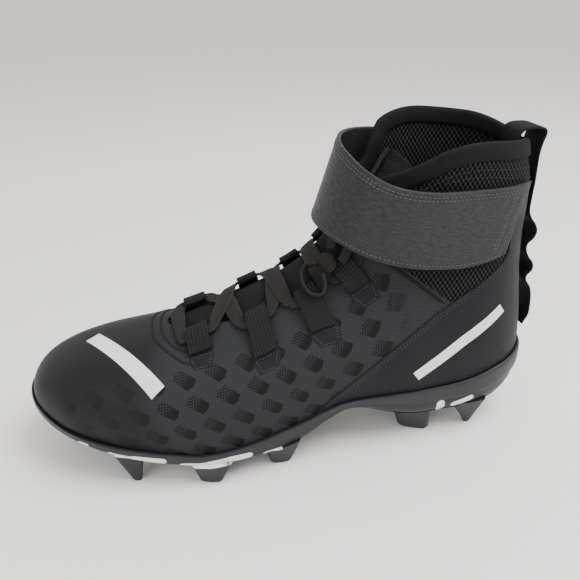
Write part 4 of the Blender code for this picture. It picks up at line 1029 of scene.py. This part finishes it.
def along(t):
    """Place along the shoe for t from 0 at the heel to 1 at the toe, even round both ends."""
    middle = TOE_X - HEEL_X - HEEL_ROUND - TOE_ROUND
    speed = middle + (HEEL_ROUND + TOE_ROUND) * math.pi / 2
    heel_share, toe_share = (r * math.pi / 2 / speed for r in (HEEL_ROUND, TOE_ROUND))
    heel = HEEL_X + HEEL_ROUND * (1 - np.cos(np.clip(t / heel_share, 0, 1) * math.pi / 2))
    toe = TOE_X - TOE_ROUND * (1 - np.cos(np.clip((1 - t) / toe_share, 0, 1) * math.pi / 2))
    mid = HEEL_X + HEEL_ROUND + (t - heel_share) * speed
    return np.where(t < heel_share, heel, np.where(t > 1 - toe_share, toe, mid))


def outline(t, side, inset):
    """Points of the outline seen from above, drawn in by the inset, in the shoe's own frame."""
    share = (along(t) - HEEL_X) / (TOE_X - HEEL_X)
    x = HEEL_X + inset + share * (TOE_X - HEEL_X - 2 * inset)
    return np.stack((x, centre(x) + side * half_width(x, side, inset), np.zeros_like(x)), -1)


def outline_normal(t, side):
    step = outline(np.minimum(t + 0.004, 1.0), side, 0.0) - outline(np.maximum(t - 0.004, 0.0), side, 0.0)
    n = unit(np.stack((-step[:, 1] * side, step[:, 0] * side, np.zeros_like(t)), -1))
    n[t < 1e-6] = (-1.0, 0.0, 0.0)
    n[t > 1 - 1e-6] = (1.0, 0.0, 0.0)
    return n


def ring_places():
    """t and side of the ring's points: heel to toe on the outer side, then back on the inner side."""
    half = RING_COUNT // 2
    t = np.concatenate((np.arange(half + 1) / half, 1 - np.arange(1, half + 1) / half))
    side = np.concatenate((np.ones(half + 1), -np.ones(half)))
    return t, side


def toward_spine(t, side, inset, share):
    edge = outline(t, side, inset)
    x = SHOE_LENGTH * (SPINE[0] + (SPINE[1] - SPINE[0]) * t)
    spine = np.stack((x, centre(x), np.zeros_like(x)), -1)
    return spine + (edge - spine) * share


def reach(tree, foot, normal, z):
    """How far the last stands out past its foot at the height z, square to the outline."""
    out = np.zeros(len(foot))
    for k, (at, n, height) in enumerate(zip(foot, normal, z)):
        start = at - 0.012 * n - ORIGIN
        hit = tree.ray_cast(Vector((start[0], start[1], height)), Vector(n))[0]
        if hit is not None:
            out[k] = max(float(np.dot(np.array(hit) + ORIGIN - at, n)), 0.0)
    return out


# Profile of the side, from the inner edge over the top and down to the plate
# Columns: outward of the upper's skin (share of the gap and wall), height between the underside and
# the wall's top, and set back in metres
WALL_PROFILE = (
    (0.12, 0.90, 0.0), (0.22, 0.975, 0.0), (0.56, 1.0, 0.0), (0.86, 0.985, 0.0), (0.98, 0.95, 0.0),
    (1.00, 0.90, 0.0), (1.00, 0.78, 0.0), (1.00, 0.62, 0.0), (1.00, 0.51, 0.0), (0.97, 0.475, 0.0),
    (0.84, 0.455, 0.0001), (0.78, 0.44, 0.0002), (0.78, 0.33, 0.0003), (0.76, 0.20, 0.0005),
    (0.66, 0.10, 0.0012), (0.40, 0.04, 0.0024),
)


def build_plate(tree):
    t, side = ring_places()
    foot = outline(t, side, FEATHER_INSET)
    normal = outline_normal(t, side)
    low, high, bed = underside(foot[:, 0]), wall_top(foot[:, 0]), footbed(foot[:, 0])
    width = SIDE_WALL + WALL_GAP
    rings = []
    for share in (0.12, 0.35, 0.6, 0.85):
        ring = toward_spine(t, side, FEATHER_INSET, share)
        ring[:, 2] = footbed(ring[:, 0])
        rings.append(ring)
    for level in (0.0, 0.5):
        z = bed + (high - bed) * level
        ring = foot + (reach(tree, foot, normal, z) + WALL_GAP)[:, None] * normal
        ring[:, 2] = z
        rings.append(ring)
    for outward, level, back in WALL_PROFILE:
        z = low + (high - low) * level
        near_toe = 1 - TOE_SLIMMING * ease((foot[:, 0] - TOE_SLIM_FROM) / TOE_SLIM_RUN)
        ring = foot + (reach(tree, foot, normal, z) + width * outward * near_toe - back)[:, None] * normal
        ring[:, 2] = z
        rings.append(ring)
    for share in (1.0, 0.9, 0.6, 0.3, 0.12):
        ring = toward_spine(t, side, UNDER_INSET, share)
        ring[:, 2] = underside(ring[:, 0])
        rings.append(ring)
    points = np.array(rings) - ORIGIN
    uv = np.stack((np.repeat(distances(points, 1)[8:9], len(rings), 0), distances(points, 0)), -1)
    return close(grid("plate", points, uv), 0.00003)


def build_stud(row):
    """A blade that flares from its worn tip up into the plate, its corners rounded."""
    x, y = row[0] * SHOE_LENGTH, row[1] * BALL_WIDTH
    tip_l, tip_w, root_l, root_w, lead, out, turn, low = row[2:]
    top = float(underside(x)) + 0.002
    out = math.copysign(out, y)
    deselect()
    bpy.ops.mesh.primitive_cube_add(size=2.0)
    bpy.ops.object.mode_set(mode="EDIT")
    bpy.ops.mesh.subdivide(number_cuts=9)
    bpy.ops.object.mode_set(mode="OBJECT")
    stud = bpy.context.object
    for v in stud.data.vertices:
        a, b, share = v.co.x, v.co.y, (v.co.z + 1) / 2
        a, b = a * math.sqrt(1 - 0.30 * b * b), b * math.sqrt(1 - 0.30 * a * a)
        flare = share ** 1.2
        worn = 1 - 0.16 * max(1 - share / 0.08, 0.0)
        length, wide = (tip_l + (root_l - tip_l) * flare) * worn, (tip_w + (root_w - tip_w) * flare) * worn
        twist = math.radians(turn) * (1 - 0.8 * share)
        px = x + lead * share + a * length / 2 * math.cos(twist) + b * wide / 2 * math.sin(twist)
        py = y + out * share - a * length / 2 * math.sin(twist) + b * wide / 2 * math.cos(twist)
        pz = low + (top + (float(underside(px)) - float(underside(x))) * flare - low) * share
        v.co = Vector((px, py, pz)) - Vector(ORIGIN)
    return stud


def build_sole(tree, finish):
    pieces = [build_plate(tree)] + [build_stud(row) for row in STUDS]
    return dress(join("sole_and_studs", pieces), finish, ["outsole"], 35.0)


# Tongue, strap, rim and webbing


def build_tongue(finish):
    rows, cols = 90, 45
    u, f = np.meshgrid(np.linspace(0, 1, rows), np.linspace(1, -1, cols), indexing="ij")
    top = TONGUE_PLACES[1] - TONGUE_ARCH * f * f
    p = TONGUE_PLACES[0] + (top - TONGUE_PLACES[0]) * u
    c = f * (throat_edge(p) + TONGUE_LAP * np.minimum(1.0, 0.55 + 2.5 * u))
    lean = np.clip((p - TONGUE_LEAN_FROM) / (TONGUE_PLACES[1] - TONGUE_LEAN_FROM), 0.0, 2.0) ** 1.5
    behind = np.clip((p - RIM_START + 3.5) / 3.0, 0.0, 1.0) * TONGUE_BEHIND_RIM
    crown = np.clip(1 - (c / np.maximum(throat_edge(p), 0.02)) ** 2, 0.0, 1.0) * ease((26.0 - p) / 4.0)
    lift = TONGUE_CROWN * crown - (UPPER_WALL + TONGUE_GAP + behind + TONGUE_LEAN * lean * (1 - 0.4 * f * f))
    wall = TONGUE_WALL * (1 - 0.55 * np.abs(f) ** 4)
    front, back = skin(p, c, lift), skin(p, c, lift - wall)
    points = np.concatenate((front, back[:, ::-1], front[:, :1]), 1)
    run = distances(points, 0)
    uv = np.stack((run, distances(points, 1)), -1)
    tongue = close(grid("tongue_pad", points, uv), 0.00003)
    modify(tongue, "BEVEL", width=0.0011, segments=3, limit_method="ANGLE", angle_limit=math.radians(50))
    return dress(tongue, finish, ["tongue"], 60.0)


def outside(tree, points, clear):
    """The points, moved out across the shoe where they come nearer to the last than allowed."""
    out = points.copy()
    for v in out.reshape(-1, 3):
        side = 1.0 if v[1] + ORIGIN[1] >= 0 else -1.0
        hit = tree.ray_cast(Vector((v[0], -ORIGIN[1], v[2])), Vector((0.0, side, 0.0)))[0]
        if hit is not None and v[0] + ORIGIN[0] <= STRAP_FREE_X * SHOE_LENGTH:
            v[1] = side * max(side * v[1], side * hit[1] + clear)
    return out


def build_strap(tree, finish, thread):
    rows, cols = 260, 26
    ends = route(STRAP, rows)
    size = np.array((SHOE_LENGTH, BALL_WIDTH, COLLAR_HEIGHT))
    low, high = ends[:, :3] * size - ORIGIN, ends[:, 3:] * size - ORIGIN
    v = np.linspace(0, 1, cols)[None, :, None]
    sheet = outside(tree, low[:, None] * (1 - v) + high[:, None] * v, STRAP_CLEAR)
    uv = np.stack((distances(sheet, 0), distances(sheet, 1)), -1)
    out = unit(np.cross(np.gradient(sheet, axis=1), np.gradient(sheet, axis=0)))
    strap = grid("ankle_strap_band", sheet + out * STRAP_WALL, uv)
    modify(strap, "SOLIDIFY", thickness=STRAP_WALL, offset=-1.0, use_even_offset=False,
           material_offset=1, material_offset_rim=2)
    modify(strap, "BEVEL", width=0.0007, segments=2, limit_method="ANGLE", angle_limit=math.radians(50))
    dress(strap, finish, ["ankle_strap"], 60.0)
    sew_strap(sheet, thread)


def sew_strap(sheet, thread):
    """Double rows along the strap's upper edge and across its heel end, one row along its foot."""
    out = unit(np.cross(np.gradient(sheet, axis=1), np.gradient(sheet, axis=0)))
    skin_points = sheet + out * (STRAP_WALL + 0.00005)
    width = distances(sheet, 1)
    places = []
    for share, from_top in STRAP_ROWS:
        at = (width[:, -1:] - share) if from_top else np.full((len(sheet), 1), share)
        column = np.array([np.interp(w, line, np.arange(len(line))) for w, line in zip(at[:, 0], width)])
        k = column.astype(int)
        t = (column - k)[:, None]
        rows = np.arange(len(sheet))
        line = skin_points[rows, k] * (1 - t) + skin_points[rows, np.minimum(k + 1, sheet.shape[1] - 1)] * t
        places.append((line[6:], out[rows, k][6:]))
    run = distances(sheet, 0)[:, 12]
    for offset in STRAP_END_ROWS:
        k = int(np.searchsorted(run, offset))
        places.append((skin_points[k, 2:-3], out[k, 2:-3]))
    for n, (line, normal) in enumerate(places):
        sew(f"strap_stitches_{n}", line, normal, STRAP_STITCH, thread)


def collar_line(count):
    """Places of the upper's top edge from the outer throat round the heel to the inner throat."""
    rise = count // 3
    turn = count - rise
    p = np.concatenate((RIM_START + (LAST_SECTION - RIM_START) * np.arange(rise) / rise,
                        np.full(turn, float(LAST_SECTION))))
    f = np.concatenate((np.ones(rise), 1.0 - np.arange(turn) / turn))
    p, f = np.append(p, LAST_SECTION), np.append(f, 0.0)
    side = np.concatenate((np.ones(len(p)), -np.ones(len(p) - 1)))
    return collar_place(np.concatenate((p, p[-2::-1])), np.concatenate((f, f[-2::-1])), side)


def build_rim(finish, thread):
    p, c = collar_line(90)
    at, normal = skin(p, c, np.full(len(p), -UPPER_WALL / 2)), last_normal(p, c)
    away = unit(np.cross(np.gradient(at, axis=0), normal))
    away *= np.sign(away[:, 2:])
    at = at + away * (RIM_GAP + RIM_HEIGHT / 2)
    rim = swept("collar_rim_pad", at, away, normal, RIM_HEIGHT + RIM_EXTRA, RIM_WALL * RIM_THINNING,
                24, 0.6)
    dress(rim, finish, ["collar_rim"], 70.0)
    for n, below in enumerate((0.55, 1.0)):
        line = skin(np.maximum(p - below, 0.0), c, np.full(len(p), 0.0003))
        sew(f"collar_stitches_{n}", line, normal, COLLAR_STITCH, thread)


def build_pull_loop(finish):
    line = route(PULL_PATH, 260)
    at = np.stack((line[:, 0] * SHOE_LENGTH, np.zeros(len(line)), line[:, 1] * COLLAR_HEIGHT), -1) - ORIGIN
    step = unit(np.gradient(at, axis=0))
    normal = np.stack((-step[:, 2], np.zeros(len(line)), step[:, 0]), -1)
    across = np.broadcast_to(np.array((0.0, 1.0, 0.0)), at.shape)
    loop = swept("heel_webbing", at, across, normal, PULL_WIDTH, WEB_WALL, 28, 0.28)
    return dress(loop, finish, ["heel_pull_loop"], 60.0)


def per_section(p):
    """Distance along the instep for one step of p."""
    return float(np.linalg.norm(last(p + 0.1, 0.3) - last(p - 0.1, 0.3)) / 0.2)


def across_place(p, side, inward):
    """The value of c that lies a distance inward of the throat's edge."""
    p = np.asarray(p, float)
    edge = throat_edge(p)
    rate = np.linalg.norm(last(p, edge + 0.02) - last(p, edge), axis=-1) / 0.02
    return side * (edge - inward / rate)


def build_lace_loop(k, side, finish):
    """A folded webbing loop that holds the lace at the throat's edge."""
    p = LOOP_PLACES[k]
    shift, kept = loop_shift(k, side)
    line = route([(inward if inward > 0 else inward * kept, lift) for inward, lift in LOOP_PATH], 60)
    step = unit(np.gradient(line, axis=0))
    turn = np.stack((-step[:, 1], step[:, 0]), -1) * LOOP_WALL / 2
    w = np.linspace(-1, 1, 15)
    places = p + LOOP_WIDTH / 2 / per_section(p) * w
    faces = []
    for sign in (1, -1):
        flat = line + sign * turn
        pp = np.broadcast_to(places, (len(line), len(w)))
        inward, lift = np.repeat(flat[:, :1], len(w), 1), np.repeat(flat[:, 1:], len(w), 1)
        c = across_place(np.full_like(inward, p), side, inward - shift)
        faces.append(skin(pp, c, lift))
    points = np.concatenate((faces[0], faces[1][:, ::-1], faces[0][:, :1]), 1)
    uv = np.stack((distances(points, 0), distances(points, 1)), -1)
    name = f"{'outer' if side > 0 else 'inner'}_{k + 1}"
    loop = close(grid(f"webbing_{name}", points, uv))
    modify(loop, "BEVEL", width=0.0003, segments=2, limit_method="ANGLE", angle_limit=math.radians(50))
    return dress(loop, finish, [f"lace_loop_{name}"], 50.0)


# Lace


def lace_places(side):
    """Places of one lace end from the middle of the first bar, through the loops in turn."""
    over = 0.0004 * side
    places = [(BAR_PLACE, 0.0, LACE_LIFT, LACE_WIDTH)]
    for k, p in enumerate(LOOP_PLACES):
        step = 1.0 / per_section(p)
        half = LOOP_WIDTH / 2 * step
        hold = EYE_INWARD - loop_shift(k, side)[0]
        eye, turn, run = (float(across_place(p, side, hold + more)) for more in (0.0, 0.002, 0.007))
        if k:
            places.append((p - half - 0.0052 * step, run, LACE_LIFT + over, LACE_WIDTH * 0.9))
        places += [
            (p - half - 0.0030 * step, turn, LACE_LIFT + 0.0007, LACE_EYE_WIDTH),
            (p - half, eye, EYE_LIFT, LACE_EYE_WIDTH),
            (p, eye, EYE_LIFT, LACE_EYE_WIDTH),
            (p + half, eye, EYE_LIFT, LACE_EYE_WIDTH),
            (p + half + 0.0030 * step, turn, LACE_LIFT + 0.0007, LACE_EYE_WIDTH),
            (p + half + 0.0052 * step, run, LACE_LIFT + over, LACE_WIDTH * 0.9),
        ]
        if k < len(LOOP_PLACES) - 1:
            places.append((0.5 * (p + LOOP_PLACES[k + 1]), LACE_CROSS, LACE_LIFT + over, LACE_WIDTH * 1.15))
            side = -side
    places.append((LACE_TOP, LACE_CROSS, LACE_LIFT + over, LACE_WIDTH))
    return places


def build_lace(finish):
    strands = []
    for side in (1, -1):
        line = route(lace_places(side), 420)
        at, normal = skin(line[:, 0], line[:, 1], line[:, 2]), last_normal(line[:, 0], line[:, 1])
        across = unit(np.cross(normal, np.gradient(at, axis=0)))
        strands.append(swept("strand", at, across, normal, line[:, 3], LACE_WALL, 16, 0.4))
    return dress(join("lace_strands", strands), finish, ["lace"], 60.0)


def build_knot(finish):
    at = skin(KNOT_PLACE, KNOT_ACROSS, LACE_LIFT + KNOT_RISE)
    tangent = unit(last(KNOT_PLACE, KNOT_ACROSS + 0.05) - last(KNOT_PLACE, KNOT_ACROSS - 0.05))
    normal = last_normal(KNOT_PLACE, KNOT_ACROSS)
    forward = np.cross(tangent, normal)
    deselect()
    bpy.ops.mesh.primitive_uv_sphere_add(segments=32, ring_count=16, radius=0.5)
    knot = bpy.context.object
    knot.name = "knot_wrap"
    for v in knot.data.vertices:
        wrap = 1 + 0.13 * math.sin(14.0 * v.co.y + 5.0 * v.co.x)
        v.co = Vector((v.co.x * wrap, v.co.y, v.co.z * wrap * 0.75))
        v.co = Vector(at + forward * v.co.x * KNOT_SIZE[0] + tangent * v.co.y * KNOT_SIZE[1]
                      + normal * v.co.z * KNOT_SIZE[2])
    return dress(knot, finish, ["lace_knot"], 60.0)


def build_cord(name, finish):
    rows = LACE_CORDS[name]
    line = route(rows, 90)
    at, normal = skin(line[:, 0], line[:, 1], line[:, 2]), last_normal(line[:, 0], line[:, 1])
    across = unit(np.cross(normal, np.gradient(at, axis=0)))
    wide, thick = (normal, across) if name == "lace_bow" else (across, normal)
    piece = swept(f"{name}_ribbon", at, wide, thick, CORD_WIDTH, LACE_WALL, 16, 0.4)
    run = float(distances(at, 0)[-1])
    print("cord", name, round(run, 4))
    return dress(piece, finish, [name], 60.0)


# Floor and light


def build_floor():
    deselect()
    bpy.ops.mesh.primitive_plane_add(size=60.0)
    floor = bpy.context.object
    floor.name = "floor"
    floor.data.materials.append(floor_finish())


def area_light(name, place, aim, size, power, colour=(1.0, 1.0, 1.0)):
    light = bpy.data.objects.new(name, bpy.data.lights.new(name, "AREA"))
    light.data.shape = "DISK"
    light.data.size, light.data.energy, light.data.color = size, power, colour
    light.location = place
    light.rotation_mode = "QUATERNION"
    light.rotation_quaternion = (Vector(aim) - Vector(place)).to_track_quat("-Z", "Y")
    bpy.context.scene.collection.objects.link(light)


def build_light():
    world = bpy.data.worlds.new("room_light")
    world.use_nodes = True
    world.node_tree.nodes["Background"].inputs["Color"].default_value = (0.92, 0.90, 0.875, 1.0)
    world.node_tree.nodes["Background"].inputs["Strength"].default_value = 1.2
    bpy.context.scene.world = world
    area_light("window", (-0.5, 0.3, 1.1), (0.0, 0.0, 0.05), 0.9, 19.0)
    area_light("fill", (0.9, 0.9, 0.8), (0.0, 0.0, 0.05), 1.0, 6.0)


def main():
    make_camera()
    lace = lace_finish()
    for name in LACE_CORDS:
        build_cord(name, lace)
    build_knot(lace)
    build_lace(lace)
    tree = last_tree()
    dark_thread = thread_finish("dark_thread", (0.062, 0.064, 0.070))
    grey_thread = thread_finish("grey_thread", (0.120, 0.121, 0.130))
    trim = felt_finish("trim", (0.006, 0.006, 0.007), (0.016, 0.016, 0.018))
    build_upper(upper_finish(), lining_finish())
    panel_edge = felt_finish("panel_edge", (0.014, 0.015, 0.018), (0.030, 0.031, 0.035))
    build_heel_panel(panel_finish(), dark_thread, panel_edge)
    build_throat_base(felt_finish("throat_line", (0.007, 0.007, 0.008), (0.020, 0.0205, 0.023)))
    build_quarter_edge(trim, dark_thread)
    build_sole(tree, sole_finish())
    build_tongue(knit_finish("tongue_knit", (0.0025, 0.0025, 0.003), (0.0155, 0.016, 0.0185), 1.7))
    strap_back = felt_finish("strap_backing", (0.004, 0.004, 0.005), (0.009, 0.009, 0.011))
    strap_edge = felt_finish("strap_edge", (0.030, 0.030, 0.034), (0.070, 0.070, 0.077))
    build_strap(tree, [strap_finish(), strap_back, strap_edge], grey_thread)
    rim_cloth = knit_finish("rim_cloth", (0.004, 0.004, 0.005), (0.011, 0.0113, 0.0135), 0.9, 0.0002)
    build_rim(rim_cloth, dark_thread)
    build_pull_loop(webbing_finish("pull_webbing", 2.4, (0.003, 0.003, 0.0035), (0.010, 0.010, 0.0115)))
    webbing = webbing_finish("loop_webbing", 1.7, (0.0035, 0.0035, 0.004), (0.0165, 0.0165, 0.018),
                             (19.0, 31.0))
    flap = felt_finish("flap_cloth", (0.0085, 0.0089, 0.0108), (0.0205, 0.0212, 0.0250))
    for k in range(len(LOOP_PLACES)):
        for side in (1, -1):
            build_lace_loop(k, side, webbing)
            build_anchor(k, side, flap, grey_thread)
    insole = bpy.data.objects["insole"]
    insole.data.materials.clear()
    insole.data.materials.append(felt_finish("insole_felt", (0.010, 0.010, 0.011), (0.030, 0.030, 0.033)))
    build_floor()
    build_light()


main()
